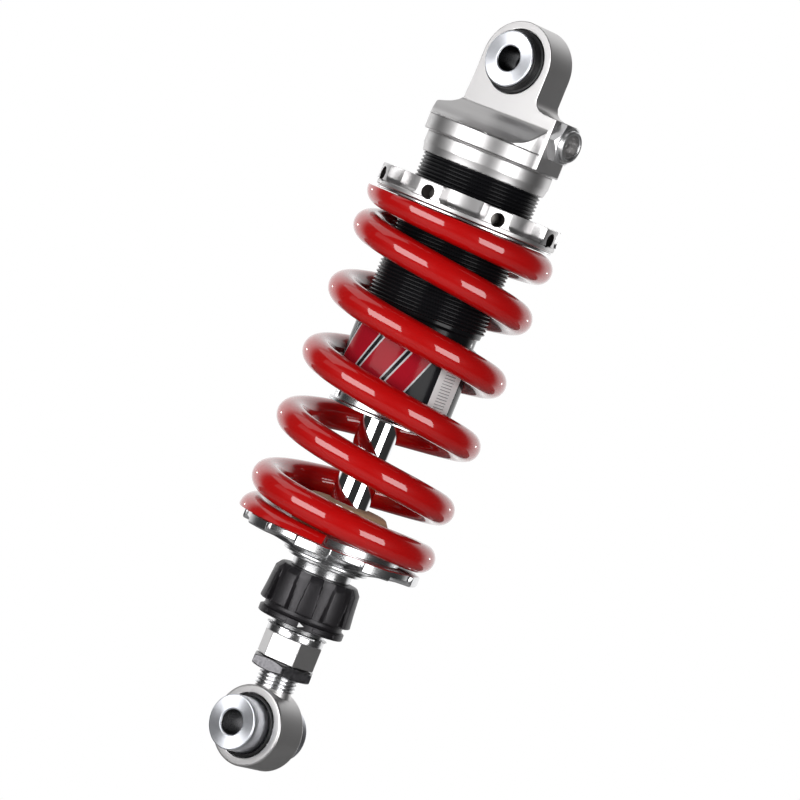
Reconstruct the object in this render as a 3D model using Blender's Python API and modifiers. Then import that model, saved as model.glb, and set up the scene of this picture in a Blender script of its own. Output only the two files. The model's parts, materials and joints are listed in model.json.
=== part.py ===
"""Adjustable coil-over rear shock absorber for a motorcycle.

The shock axis is Z and both eye bores run along Y. The origin is the centre of the upper eye.
Sizes are in millimetres. Heights are measured up the shock axis from the centre of the lower eye.
"""

import math

import bmesh
import bpy

MM = 0.001
GAP = 0.3  # space left between two pieces that touch on the real object

# Overall
EYE_TO_EYE = 280.0
FRONT_ANGLE = 305.4  # polar angle, seen from above, that the knob lobes and lower hexagon are set by

# Damper tube and rod
BORE_R = 20.0
TUBE_PLAIN_R = 24.3
TUBE_RELIEF_R = 22.6
TUBE_THREAD_R = 24.5
TUBE_BOTTOM = 137.0
TUBE_RELIEF_BOTTOM = 169.0
TUBE_THREAD_BOTTOM = 173.8
TUBE_TOP = 246.0
ROD_R = 8.0
ROD_HOLE_R = 3.0
ROD_BOTTOM = 62.0
ROD_SHOULDER = 157.0
ROD_TOP = 180.0
SPIGOT_R = 5.0
PISTON_STACK_R = 14.5
RUNNING_R = BORE_R - GAP

# Head and gas valve
HEAD_BOTTOM = 234.6
HEAD_R = 28.0
LUG_HALF_WIDTH = 16.25
LUG_HALF_THICKNESS = 8.0
BOSS_REACH = 28.5
BOSS_BOTTOM = 243.6
BOSS_TOP = 264.7
VALVE_HEIGHT = 256.8
VALVE_TIP = 34.6

# Spring and its perches
COIL_R = 34.0
WIRE_R = 5.85
SPRING_TOP = 214.6
SPRING_BOTTOM = 79.4
SPRING_FIRST_TURN = -0.25
SPRING_LAST_TURN = 6.234
SPRING_START_HEIGHT = 214.0
SPRING_START_ANGLE = 215.4
CLOSED_PITCH = 12.1
OPEN_PITCH = 26.9
PRELOAD_BOTTOM = 216.1
PRELOAD_TOP = 224.6
PRELOAD_LOBE_R = 38.0
PRELOAD_HUB_R = 31.5
PRELOAD_LOBES = 8
PRELOAD_LOBE_ANGLE = 16.0
PRELOAD_FIRST_LOBE = 9.0
SEAT_RIM_R = 36.8
SEAT_RIM_BOTTOM = 74.7
SEAT_RIM_TOP = 79.1
SEAT_NOTCHES = 8

# Rebound knob and rod end
KNOB_BOTTOM = 43.8
KNOB_TOP = 65.2
KNOB_BORE_R = 12.1
KNOB_GROOVE_R = 16.0
KNOB_LOBES = 10
ROD_END_BOTTOM = 28.4
STUD_R = 7.9
STUD_TOP = 43.0
PIN_HEIGHT = 58.0
DETENT_HEIGHT = 51.3

# Eyes
EYE_BORE_R = 13.0
EYE_RING_R = 16.4
EYE_HALF_WIDTH = 8.0
UPPER_COLLAR_FACE = 13.2
LOWER_COLLAR_FACE = 18.0
COLLAR_R = 11.1
BOLT_R = 5.0

# Facets round a turned piece
COARSE = 14
MEDIUM = 20
FINE = 28

ALUMINIUM = ((0.72, 0.72, 0.73), 0.32, 1.0)
STEEL = ((0.60, 0.60, 0.61), 0.25, 1.0)
CHROME = ((0.86, 0.87, 0.88), 0.06, 1.0)
BLACK_ANODISED = ((0.012, 0.012, 0.014), 0.30, 0.6)
BLACK_RUBBER = ((0.02, 0.02, 0.02), 0.75, 0.0)
RED_PAINT = ((0.60, 0.008, 0.010), 0.18, 0.0)
FOAM = ((0.55, 0.40, 0.24), 0.85, 0.0)
BRONZE = ((0.55, 0.36, 0.18), 0.40, 1.0)
LABEL_FILM = ((0.35, 0.02, 0.03), 0.30, 0.2)


# Scene set-up -----------------------------------------------------------------


def clear_scene():
    for obj in list(bpy.data.objects):
        bpy.data.objects.remove(obj)


def new_collection(name):
    collection = bpy.data.collections.new(name)
    bpy.context.scene.collection.children.link(collection)
    return collection


clear_scene()
PARTS = new_collection("rear_shock_absorber")
CUTTERS = new_collection("cutters")


def make_material(name, look):
    color, roughness, metallic = look
    material = bpy.data.materials.new(name)
    material.use_nodes = True
    shader = material.node_tree.nodes["Principled BSDF"]
    shader.inputs["Base Color"].default_value = (*color, 1.0)
    shader.inputs["Roughness"].default_value = roughness
    shader.inputs["Metallic"].default_value = metallic
    return material


def add_frame(name, parent=None, height=0.0):
    """An empty on a moving body's axis. Its height is measured from its parent."""
    frame = bpy.data.objects.new(name, None)
    frame.empty_display_size = 20 * MM
    frame.location = (0, 0, height * MM)
    frame.parent = parent
    PARTS.objects.link(frame)
    return frame


# Shape helpers ----------------------------------------------------------------


def add_object(name, mesh, look=None, parent=None):
    """A part when it has a look, otherwise a hidden helper that cuts or joins."""
    obj = bpy.data.objects.new(name, mesh)
    if look is None:
        CUTTERS.objects.link(obj)
        obj.hide_render = True
        obj.display_type = "WIRE"
    else:
        PARTS.objects.link(obj)
        mesh.materials.append(make_material(name + "_look", look))
    obj.parent = parent
    return obj


def turned(name, outline, look=None, parent=None, steps=MEDIUM):
    """Turns (radius, height) points about Z: down the outer side, then up the inner side or to the axis."""
    mesh = bpy.data.meshes.new(name)
    shape = bmesh.new()
    points = [shape.verts.new((radius * MM, 0, height * MM)) for radius, height in outline]
    for upper, lower in zip(points, points[1:]):
        shape.edges.new((upper, lower))
    if outline[0][0] > 0:
        shape.edges.new((points[-1], points[0]))
    shape.to_mesh(mesh)
    shape.free()
    obj = add_object(name, mesh, look, parent)
    screw = obj.modifiers.new("Turn", "SCREW")
    screw.steps = steps
    screw.render_steps = steps
    screw.use_merge_vertices = True
    screw.merge_threshold = 1e-5
    screw.use_smooth_shade = False
    return obj


def ring(inner_r, outer_r, bottom, top):
    """Outline of a plain ring."""
    return [(outer_r, top), (outer_r, bottom), (inner_r, bottom), (inner_r, top)]


def rod(radius, bottom, top):
    """Outline of a plain solid cylinder."""
    return [(0, top), (radius, top), (radius, bottom), (0, bottom)]


def extruded(name, outline, half_thickness, look=None, parent=None):
    """A flat outline of (x, y) points in its own XY plane, thickened evenly along Z."""
    curve = bpy.data.curves.new(name, "CURVE")
    curve.dimensions = "2D"
    curve.fill_mode = "BOTH"
    curve.extrude = half_thickness * MM
    spline = curve.splines.new("POLY")
    spline.points.add(len(outline) - 1)
    for point, (x, y) in zip(spline.points, outline):
        point.co = (x * MM, y * MM, 0, 1)
    spline.use_cyclic_u = True
    return curve_to_part(name, curve, look, parent)


def curve_to_part(name, curve, look, parent):
    """Makes a curve's solid a mesh with its caps welded on."""
    source = bpy.data.objects.new(name + "_curve", curve)
    bpy.context.scene.collection.objects.link(source)
    bpy.context.view_layer.update()
    graph = bpy.context.evaluated_depsgraph_get()
    mesh = bpy.data.meshes.new_from_object(source.evaluated_get(graph))
    bpy.data.objects.remove(source)
    mesh.materials.clear()
    shape = bmesh.new()
    shape.from_mesh(mesh)
    bmesh.ops.remove_doubles(shape, verts=shape.verts, dist=1e-6)
    bmesh.ops.recalc_face_normals(shape, faces=shape.faces)
    shape.to_mesh(mesh)
    shape.free()
    return add_object(name, mesh, look, parent)


def arc(center_x, center_y, radius, start, stop, count):
    """Points on an arc, angles in degrees."""
    angles = [math.radians(start + (stop - start) * i / (count - 1)) for i in range(count)]
    return [(center_x + radius * math.cos(a), center_y + radius * math.sin(a)) for a in angles]


def polygon(sides, across_flats, turn=0.0):
    """A regular polygon with a flat facing the angle turn."""
    radius = across_flats / 2 / math.cos(math.pi / sides)
    half = 180 / sides
    return arc(0, 0, radius, turn + half, turn + half + 360 - 2 * half, sides)


def box(name, low, high):
    mesh = bpy.data.meshes.new(name)
    shape = bmesh.new()
    bmesh.ops.create_cube(shape, size=1.0)
    size = [(b - a) * MM for a, b in zip(low, high)]
    center = [(a + b) / 2 * MM for a, b in zip(low, high)]
    bmesh.ops.scale(shape, vec=size, verts=shape.verts)
    bmesh.ops.translate(shape, vec=center, verts=shape.verts)
    shape.to_mesh(mesh)
    shape.free()
    return add_object(name, mesh)


def boolean(obj, other, operation="DIFFERENCE"):
    modifier = obj.modifiers.new(other.name, "BOOLEAN")
    modifier.operation = operation
    modifier.solver = "EXACT"
    modifier.object = other


def along_x(obj, height):
    """Points the object's own +Z along world +X at this height above the lower eye."""
    obj.rotation_euler = (0, math.radians(90), 0)
    obj.location = (0, 0, height * MM)


def along_y(obj, height=0.0):
    """Points the object's own +Z along world +Y."""
    obj.rotation_euler = (math.radians(-90), 0, 0)
    obj.location = (0, 0, height * MM)


def spoke(name, radius, start, stop, angle, height, parent, steps=10):
    """A cylinder that cuts radially at a polar angle, from one radius to another."""
    cutter = turned(name, rod(radius, start, stop), parent=parent, steps=steps)
    cutter.rotation_euler = (0, math.radians(90), math.radians(angle))
    cutter.location = (0, 0, height * MM)
    return cutter


def finish_shading():
    for obj in PARTS.objects:
        if obj.type == "MESH":
            obj.data.shade_smooth()
            obj.data.set_sharp_from_angle(angle=math.radians(35))


# Eyes -------------------------------------------------------------------------


def eye_bore_cutter(name, parent, height):
    """The eye bore with a groove for each circlip."""
    groove_r = EYE_BORE_R + 0.8
    reach = EYE_HALF_WIDTH + 1
    outline = [(0, reach), (EYE_BORE_R, reach)]
    for side in (1, -1):
        edges = sorted((side * 4.7, side * 5.9), reverse=True)
        outline += [(EYE_BORE_R, edges[0]), (groove_r, edges[0])]
        outline += [(groove_r, edges[1]), (EYE_BORE_R, edges[1])]
    outline += [(EYE_BORE_R, -reach), (0, -reach)]
    cutter = turned(name, outline, parent=parent)
    along_y(cutter, height)
    return cutter


def build_eye_bush(prefix, frame, housing_frame, housing_height, collar_face):
    """Spherical bearing, its collars on both sides, and the clips and seals that stay in the housing."""
    race_width = 4.4
    ball_width = 6.0
    ball_r = 10.8
    spigot_r = 7.2
    socket = arc(0, 0, ball_r + GAP, -22, 22, 5)
    race_outline = [(EYE_BORE_R - GAP, race_width), (EYE_BORE_R - GAP, -race_width)] + socket
    race = turned(prefix + "_bearing_race", race_outline, STEEL, housing_frame)
    along_y(race, housing_height)
    half_arc = math.degrees(math.asin(ball_width / ball_r))
    ball_side = arc(0, 0, ball_r, half_arc, -half_arc, 6)
    ball_outline = ball_side + [(spigot_r + GAP, -ball_width), (spigot_r + GAP, ball_width)]
    along_y(turned(prefix + "_bearing_ball", ball_outline, CHROME, frame))
    for side, label in ((-1, "front"), (1, "rear")):
        inner = ball_width + GAP
        collar_outline = [
            (BOLT_R + 0.7, collar_face),
            (COLLAR_R - 0.4, collar_face),
            (COLLAR_R, collar_face - 0.4),
            (COLLAR_R, inner),
            (spigot_r, inner),
            (spigot_r, 0.2),
            (BOLT_R, 0.2),
            (BOLT_R, collar_face - 0.7),
        ]
        collar = turned(f"{prefix}_collar_{label}", collar_outline, ALUMINIUM, frame)
        collar.rotation_euler = (math.radians(-90 * side), 0, 0)
        clip = circlip(f"{prefix}_circlip_{label}", 11.9, EYE_BORE_R + 0.5, 4.9, 5.7, housing_frame)
        clip.rotation_euler = (math.radians(-90 * side), 0, 0)
        clip.location = (0, 0, housing_height * MM)
        seal_outline = [
            (EYE_BORE_R - GAP, 7.9),
            (EYE_BORE_R - GAP, 6.2),
            (COLLAR_R + GAP, 6.2),
            (COLLAR_R + GAP, 7.9),
            (COLLAR_R + 0.9, 7.4),
        ]
        seal = turned(f"{prefix}_seal_{label}", seal_outline, BLACK_RUBBER, housing_frame)
        seal.rotation_euler = (math.radians(-90 * side), 0, 0)
        seal.location = (0, 0, housing_height * MM)


def circlip(name, inner_r, outer_r, bottom, top, parent):
    """A flat spring ring with a 30 degree opening."""
    outline = arc(0, 0, outer_r, 15, 345, 20) + arc(0, 0, inner_r, 345, 15, 20)
    half = (top - bottom) / 2
    clip = extruded(name, outline, half, STEEL, parent)
    for vertex in clip.data.vertices:
        vertex.co.z += (bottom + half) * MM
    return clip


def build_lower_eye(frame):
    """Eye ring with the threaded length-adjusting stud."""
    neck_outline = [(0, STUD_TOP), (STUD_R - 1, STUD_TOP), (STUD_R, STUD_TOP - 1), (STUD_R, 10.0), (0, 10.0)]
    eye = turned("lower_eye", rod(EYE_RING_R, -EYE_HALF_WIDTH, EYE_HALF_WIDTH), ALUMINIUM, frame, FINE)
    along_y(eye)
    neck = turned("lower_eye_neck", neck_outline, parent=frame)
    boolean(eye, neck, "UNION")
    boolean(eye, eye_bore_cutter("lower_eye_bore", frame, 0.0))


# Rod end, knob and lower perch ------------------------------------------------


def build_lock_nut(frame):
    across_flats = 24.0
    half_height = 2.4
    middle = 25.7
    nut = extruded("lock_nut", polygon(6, across_flats, FRONT_ANGLE + 30), half_height, BLACK_ANODISED, frame)
    nut.location = (0, 0, middle * MM)
    boolean(nut, turned("lock_nut_bore", rod(STUD_R + GAP, 20, 32), parent=frame))


def build_rod_end(frame):
    """Hexagon, knob bearing and spring perch flange, with the rod seat, adjuster chamber and detent pocket."""
    outline = [
        (0, 71.5),
        (17.5, 71.5),
        (17.5, 70.5),
        (15.0, 70.5),
        (15.0, 69.0),
        (12.15, 69.0),
        (12.15, 65.5),
        (11.75, 65.5),
        (11.75, KNOB_BOTTOM),
        (11.0, KNOB_BOTTOM),
        (11.0, 41.5),
        (10.2, 41.5),
        (10.2, 40.7),
        (11.75, 40.7),
        (11.75, 38.1),
        (0, 38.1),
    ]
    obj = turned("rod_end", outline, ALUMINIUM, frame)
    across_flats = 21.0
    half_height = 5.1
    turn = FRONT_ANGLE - 14.0
    hexagon = extruded("rod_end_hexagon", polygon(6, across_flats, turn), half_height, parent=frame)
    hexagon.location = (0, 0, (ROD_END_BOTTOM + half_height) * MM)
    boolean(obj, hexagon, "UNION")
    boolean(obj, turned("rod_end_stud_hole", rod(STUD_R + GAP, 20, 48.5), parent=frame))
    seat_r = ROD_R + GAP
    seat_bottom = ROD_BOTTOM - GAP
    hollow = [(0, 80), (seat_r, 80), (seat_r, seat_bottom), (4.4, seat_bottom), (4.4, 54), (0, 54)]
    boolean(obj, turned("rod_end_hollow", hollow, parent=frame))
    slot = box("rod_end_pin_slot", (-15, -1.9, PIN_HEIGHT - 2.7), (15, 1.9, PIN_HEIGHT + 2.7))
    slot.parent = frame
    boolean(obj, slot)
    boolean(obj, spoke("rod_end_detent_pocket", 1.8, 5.4, 14, 90, DETENT_HEIGHT, frame))


def build_rebound_knob(frame):
    """Grip with ten lobes over a round skirt. The pocket inside holds the ends of the cross pin."""
    pocket_r = 14.2
    skirt_r = 17.65
    lobe_r = 18.7
    grip_half_height = 8.0
    core_outline = [
        (KNOB_BORE_R, KNOB_TOP),
        (KNOB_GROOVE_R, KNOB_TOP),
        (KNOB_GROOVE_R, 46.6),
        (skirt_r, 46.6),
        (skirt_r, KNOB_BOTTOM),
        (KNOB_BORE_R, KNOB_BOTTOM),
        (KNOB_BORE_R, 50.1),
        (KNOB_BORE_R + 0.8, DETENT_HEIGHT),
        (KNOB_BORE_R + 0.8, 54.2),
        (pocket_r, 54.2),
        (pocket_r, 61.8),
        (KNOB_BORE_R, 61.8),
    ]
    knob = turned("rebound_knob", core_outline, BLACK_ANODISED, frame, FINE)
    outline = []
    for lobe in range(KNOB_LOBES):
        center = FRONT_ANGLE + lobe * 360 / KNOB_LOBES
        outline += arc(0, 0, lobe_r, center - 10.5, center + 10.5, 3)
        outline += arc(0, 0, KNOB_GROOVE_R + 0.4, center + 13.5, center + 22.5, 2)
    grip = extruded("rebound_knob_grip", outline, grip_half_height, parent=frame)
    grip.location = (0, 0, (KNOB_TOP - grip_half_height) * MM)
    hole = turned("rebound_knob_grip_hole", rod(15.0, 40, 70), parent=frame)
    boolean(grip, hole)
    boolean(knob, grip, "UNION")


def build_adjuster(needle_frame, knob_frame, rod_frame):
    """Rebound adjuster: rod with needle tip, cross pin, detent ball and its spring, and the knob's circlip."""
    outline = [(0, 174.0), (1.2, 172.0), (2.6, 169.0), (2.6, 61.0), (3.9, 60.2), (3.9, 55.3), (0, 55.3)]
    needle = turned("rebound_needle_rod", outline, BRONZE, needle_frame, COARSE)
    boolean(needle, spoke("needle_pin_hole", 1.8, -8, 8, 0, PIN_HEIGHT, needle_frame))
    spoke_pin = turned("rebound_cross_pin", rod(1.5, -13.6, 13.6), STEEL, needle_frame, COARSE)
    along_x(spoke_pin, PIN_HEIGHT)
    ball_r = 1.25
    ball_reach = 11.2
    profile = [(radius, height) for height, radius in arc(0, 0, ball_r, 0, 180, 6)]
    profile[0] = (0, ball_r)
    profile[-1] = (0, -ball_r)
    ball = turned("detent_ball", profile, CHROME, knob_frame, 10)
    ball.location = (0, ball_reach * MM, DETENT_HEIGHT * MM)
    coil_r = 1.2
    coil_start = 6.0
    coil_length = 3.4
    turns = 3
    count = turns * 8
    points = []
    for i in range(count + 1):
        angle = 2 * math.pi * turns * i / count
        along = coil_start + coil_length * i / count
        points.append((coil_r * math.cos(angle), coil_r * math.sin(angle), along))
    spring = wire("detent_spring", points, 0.22, STEEL, rod_frame, 1)
    along_y(spring, DETENT_HEIGHT)
    retainer = circlip("knob_circlip", 10.5, 12.5, 40.9, 41.3, rod_frame)
    retainer.rotation_euler = (0, 0, math.radians(120))


def build_lower_seat(frame):
    """Dished perch that carries the spring, with notches round the rim and a hub inside the coil."""
    outline = [
        (ROD_R + GAP, 83.0),
        (26.0, 83.0),
        (27.5, 81.5),
        (27.5, SEAT_RIM_TOP),
        (SEAT_RIM_R - 0.4, SEAT_RIM_TOP),
        (SEAT_RIM_R, SEAT_RIM_TOP - 0.4),
        (SEAT_RIM_R, SEAT_RIM_BOTTOM + 0.4),
        (SEAT_RIM_R - 0.4, SEAT_RIM_BOTTOM),
        (30.0, SEAT_RIM_BOTTOM),
        (18.0, 71.8),
        (ROD_R + GAP, 71.8),
    ]
    seat = turned("lower_spring_seat", outline, ALUMINIUM, frame, FINE)
    tooth = 360 / SEAT_NOTCHES
    notch_floor_r = 33.0
    notch_reach = 45.0
    notch_depth = 2.0
    for notch in range(SEAT_NOTCHES):
        start = FRONT_ANGLE - 22.5 + notch * tooth
        stop = start + tooth / 2
        sector = arc(0, 0, notch_reach, start, stop, 3) + arc(0, 0, notch_floor_r, stop, start, 3)
        cutter = extruded(f"seat_notch_{notch}", sector, notch_depth, parent=frame)
        cutter.location = (0, 0, SEAT_RIM_BOTTOM * MM)
        boolean(seat, cutter)


def build_bump_stop(frame):
    outline = [
        (ROD_R + GAP, 94.7),
        (15.4, 94.7),
        (16.4, 94.2),
        (19.0, 90.5),
        (19.0, 84.2),
        (18.4, 83.3),
        (ROD_R + GAP, 83.3),
    ]
    turned("bump_stop", outline, FOAM, frame)


# Rod and damper internals -----------------------------------------------------


def build_piston_rod(frame):
    rod_outline = [
        (0, ROD_TOP),
        (SPIGOT_R - 0.6, ROD_TOP),
        (SPIGOT_R, ROD_TOP - 0.6),
        (SPIGOT_R, ROD_SHOULDER),
        (ROD_R, ROD_SHOULDER),
        (ROD_R, ROD_BOTTOM),
        (ROD_HOLE_R, ROD_BOTTOM),
        (ROD_HOLE_R, 175.0),
        (0, 176.5),
    ]
    piston_rod = turned("piston_rod", rod_outline, CHROME, frame)
    boolean(piston_rod, spoke("rod_bleed_hole", 1.2, -9, 9, 90, 154.0, frame))


def build_piston(frame):
    """Piston with its band between two shim stacks, clamped by a nut."""
    hole_r = SPIGOT_R + GAP
    turned("compression_shims", ring(hole_r, PISTON_STACK_R, 157.4, 158.9), STEEL, frame)
    piston_outline = [
        (hole_r, 171.0),
        (RUNNING_R - 0.5, 171.0),
        (RUNNING_R, 170.4),
        (RUNNING_R, 168.2),
        (18.3, 168.2),
        (18.3, 161.8),
        (RUNNING_R, 161.8),
        (RUNNING_R, 159.8),
        (RUNNING_R - 0.5, 159.2),
        (hole_r, 159.2),
    ]
    piston = turned("piston", piston_outline, ALUMINIUM, frame)
    ports = 6
    port_r = 1.9
    port_circle_r = 12.0
    for port in range(ports):
        angle = math.radians(360 / ports * port)
        cutter = turned(f"piston_port_{port}", rod(port_r, 155, 175), parent=frame, steps=8)
        cutter.location = (port_circle_r * MM * math.cos(angle), port_circle_r * MM * math.sin(angle), 0)
        boolean(piston, cutter)
    turned("piston_band", ring(18.6, RUNNING_R, 162.1, 167.9), BLACK_RUBBER, frame)
    turned("rebound_shims", ring(hole_r, PISTON_STACK_R - 1, 171.3, 172.8), STEEL, frame)
    nut = extruded("piston_nut", polygon(6, 16.0), 3.0, STEEL, frame)
    nut.location = (0, 0, 176.2 * MM)
    boolean(nut, turned("piston_nut_bore", rod(hole_r, 170, 182), parent=frame))


def build_seal_head(frame):
    """Gland that closes the tube, with its wiper, bushing, oil seal, O-ring and top-out ring."""
    bore_r = ROD_R + GAP
    outline = [
        (12.5, 151.0),
        (19.2, 151.0),
        (RUNNING_R, 150.5),
        (RUNNING_R, 144.4),
        (17.8, 144.4),
        (17.8, 141.2),
        (RUNNING_R, 141.2),
        (RUNNING_R, 136.7),
        (21.5, 136.7),
        (21.5, 132.6),
        (23.0, 132.3),
        (23.0, 131.1),
        (12.0, 131.1),
        (12.0, 134.6),
        (bore_r, 134.6),
        (bore_r, 136.4),
        (10.2, 136.4),
        (10.2, 145.4),
        (bore_r, 145.4),
        (bore_r, 146.8),
        (12.5, 146.8),
    ]
    seal_head = turned("seal_head", outline, ALUMINIUM, frame)
    spanner_holes = 4
    for hole in range(spanner_holes):
        angle = FRONT_ANGLE + 20 + hole * 360 / spanner_holes
        boolean(seal_head, spoke(f"seal_head_hole_{hole}", 1.4, 19, 24, angle, 134.4, frame, 10))
    turned("dust_wiper", ring(bore_r, 11.7, 131.6, 134.3), BLACK_RUBBER, frame)
    turned("rod_bushing", ring(bore_r, 9.9, 136.7, 145.1), BRONZE, frame)
    turned("oil_seal", ring(bore_r, 12.2, 147.1, 150.7), BLACK_RUBBER, frame)
    turned("seal_head_o_ring", o_ring_outline(18.9, 142.8, 0.8), BLACK_RUBBER, frame)
    turned("top_out_ring", ring(bore_r, 11.0, 151.4, 156.0), BLACK_RUBBER, frame)


def o_ring_outline(ring_r, height, section_r):
    return arc(ring_r, height, section_r, 90, -210, 6)


def build_tube(frame):
    outline = [
        (BORE_R, TUBE_TOP),
        (TUBE_THREAD_R, TUBE_TOP),
        (TUBE_THREAD_R, TUBE_THREAD_BOTTOM),
        (TUBE_RELIEF_R, TUBE_THREAD_BOTTOM - 0.8),
        (TUBE_RELIEF_R, TUBE_RELIEF_BOTTOM + 0.5),
        (TUBE_PLAIN_R, TUBE_RELIEF_BOTTOM),
        (TUBE_PLAIN_R, TUBE_BOTTOM + 0.6),
        (TUBE_PLAIN_R - 0.6, TUBE_BOTTOM),
        (BORE_R, TUBE_BOTTOM),
    ]
    turned("damper_tube", outline, BLACK_ANODISED, frame, FINE)
    wrap = 240
    inner_r = TUBE_PLAIN_R + 0.25
    outer_r = inner_r + GAP
    half_height = 14.5
    middle = 153.0
    label_outline = arc(0, 0, outer_r, 0, wrap, 21) + arc(0, 0, inner_r, wrap, 0, 21)
    label = extruded("tube_label", label_outline, half_height, LABEL_FILM, frame)
    label.rotation_euler = (0, 0, math.radians(FRONT_ANGLE - 150))
    label.location = (0, 0, middle * MM)


def build_floating_piston(frame):
    outline = [
        (0, 231.5),
        (RUNNING_R - 0.5, 231.5),
        (RUNNING_R, 231.0),
        (RUNNING_R, 228.6),
        (17.8, 228.6),
        (17.8, 225.4),
        (RUNNING_R, 225.4),
        (RUNNING_R, 223.0),
        (RUNNING_R - 0.5, 222.5),
        (15.0, 222.5),
        (13.0, 225.0),
        (0, 225.0),
    ]
    turned("floating_piston", outline, ALUMINIUM, frame)
    turned("floating_piston_ring", o_ring_outline(18.9, 227.0, 0.8), BLACK_RUBBER, frame)


# Head and gas valve -----------------------------------------------------------


def lug_outline():
    """Front view of the lug and valve boss: x across, y as height. The left side flares into the shoulder."""
    outline = [(BOSS_REACH, BOSS_BOTTOM), (BOSS_REACH, BOSS_TOP)]
    outline += [(LUG_HALF_WIDTH, BOSS_TOP), (LUG_HALF_WIDTH, EYE_TO_EYE)]
    outline += arc(0, EYE_TO_EYE, LUG_HALF_WIDTH, 10, 170, 15)
    outline += [(-LUG_HALF_WIDTH, EYE_TO_EYE), (-LUG_HALF_WIDTH, 262.0)]
    outline += [(-16.7, 258.8), (-18.4, 255.6), (-21.5, 252.5), (-22.5, 251.0), (-22.5, BOSS_BOTTOM)]
    return outline


def shoulder_outline():
    """End view of the milled shoulder: x as depth, y as height, hollowed on both sides of the lug."""
    side = arc(20.0, 264.6, 13.5, 208, 270, 7)
    right = [(24.5, 250.0), (24.5, 246.0)]
    left = [(-x, y) for x, y in reversed(right)]
    return side + right + left + [(-x, y) for x, y in reversed(side)]


def build_head(frame):
    base_outline = [
        (0, 251.2),
        (26.4, 251.2),
        (27.6, 250.6),
        (HEAD_R, 249.6),
        (HEAD_R, 243.4),
        (25.6, 243.2),
        (25.6, 242.8),
        (26.15, 242.6),
        (26.15, 237.7),
        (23.9, HEAD_BOTTOM),
        (0, HEAD_BOTTOM),
    ]
    head = turned("head", base_outline, ALUMINIUM, frame, FINE)
    lug = extruded("head_lug", lug_outline(), LUG_HALF_THICKNESS, parent=frame)
    lug.rotation_euler = (math.radians(90), 0, 0)
    boolean(head, lug, "UNION")
    shoulder = extruded("head_shoulder", shoulder_outline(), 28.0, parent=frame)
    shoulder.rotation_euler = (math.radians(90), 0, math.radians(90))
    trim = turned("head_shoulder_trim", rod(25.2, 240, 262), parent=frame, steps=FINE)
    boolean(shoulder, trim, "INTERSECT")
    boolean(head, shoulder, "UNION")
    tube_hole = [(0, 250.0), (17.0, 250.0), (17.0, TUBE_TOP + GAP), (TUBE_THREAD_R + GAP, TUBE_TOP + GAP)]
    tube_hole += [(TUBE_THREAD_R + GAP, 230.0), (0, 230.0)]
    boolean(head, turned("head_tube_hole", tube_hole, parent=frame, steps=FINE))
    boolean(head, spoke("head_valve_hole", 4.5, 14.0, 32.0, 0, VALVE_HEIGHT, frame, COARSE))
    boolean(head, turned_at("head_gas_passage", rod(1.8, 247.0, VALVE_HEIGHT), 14.8, frame))
    boolean(head, eye_bore_cutter("head_eye_bore", frame, EYE_TO_EYE))


def turned_at(name, outline, x, parent):
    cutter = turned(name, outline, parent=parent, steps=10)
    cutter.location = (x * MM, 0, 0)
    return cutter


def build_gas_valve(frame):
    """Hexagon body with a centre screw in it and an O-ring under its flange."""
    start = BOSS_REACH + GAP
    outline = [
        (6.1, VALVE_TIP),
        (6.4, VALVE_TIP - 0.3),
        (6.4, 32.6),
        (7.3, 31.8),
        (7.3, start + 0.2),
        (4.2, start + 0.2),
        (4.2, 24.6),
        (3.4, 24.6),
        (3.4, 22.4),
        (4.2, 22.4),
        (4.2, 17.0),
        (1.3, 17.0),
        (1.3, 24.0),
        (2.9, 24.0),
        (2.9, 30.2),
        (5.2, 30.2),
        (5.2, VALVE_TIP),
    ]
    valve = turned("gas_valve_body", outline, ALUMINIUM, frame, COARSE)
    along_x(valve, VALVE_HEIGHT)
    across_flats = 15.0
    half_height = 1.6
    hexagon = extruded("gas_valve_hexagon", polygon(6, across_flats), half_height, parent=frame)
    along_x(hexagon, VALVE_HEIGHT)
    hexagon.location.x = (start + half_height + 0.2) * MM
    boolean(valve, hexagon, "UNION")
    hollow = [(0, 36.0), (5.2, 36.0), (5.2, 30.2), (2.9, 30.2), (2.9, 26.0), (0, 26.0)]
    hole = turned("gas_valve_hollow", hollow, parent=frame, steps=COARSE)
    along_x(hole, VALVE_HEIGHT)
    boolean(valve, hole)
    screw_face = 33.6
    screw_outline = [(0, screw_face), (4.9, screw_face), (4.9, 30.5), (2.6, 30.5), (2.6, 24.4), (0, 24.4)]
    screw = turned("gas_valve_screw", screw_outline, STEEL, frame, COARSE)
    along_x(screw, VALVE_HEIGHT)
    slot = extruded("gas_valve_socket", polygon(6, 5.5), 1.2, parent=frame)
    along_x(slot, VALVE_HEIGHT)
    slot.location.x = screw_face * MM
    boolean(screw, slot)
    o_ring = turned("gas_valve_o_ring", o_ring_outline(3.95, 23.5, 0.35), BLACK_RUBBER, frame, COARSE)
    along_x(o_ring, VALVE_HEIGHT)


# Spring and preload -----------------------------------------------------------


def smooth(value):
    value = min(max(value, 0.0), 1.0)
    return value * value * (3 - 2 * value)


def pitch_at(turn):
    """The wire closes up over the first and last turns."""
    opening = smooth((turn - 0.4) / 1.0)
    closing = smooth((turn - 4.6) / 0.9)
    return CLOSED_PITCH + (OPEN_PITCH - CLOSED_PITCH) * (opening - closing)


def spring_points(per_turn):
    """The left-hand helix from its top end down."""
    count = round((SPRING_LAST_TURN - SPRING_FIRST_TURN) * per_turn)
    step = (SPRING_LAST_TURN - SPRING_FIRST_TURN) / count
    height = SPRING_START_HEIGHT - SPRING_FIRST_TURN * CLOSED_PITCH
    points = []
    for i in range(count + 1):
        turn = SPRING_FIRST_TURN + step * i
        angle = math.radians(SPRING_START_ANGLE + 360 * turn)
        points.append((COIL_R * math.cos(angle), COIL_R * math.sin(angle), height))
        height -= step * pitch_at(turn + step / 2)
    return points


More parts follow.
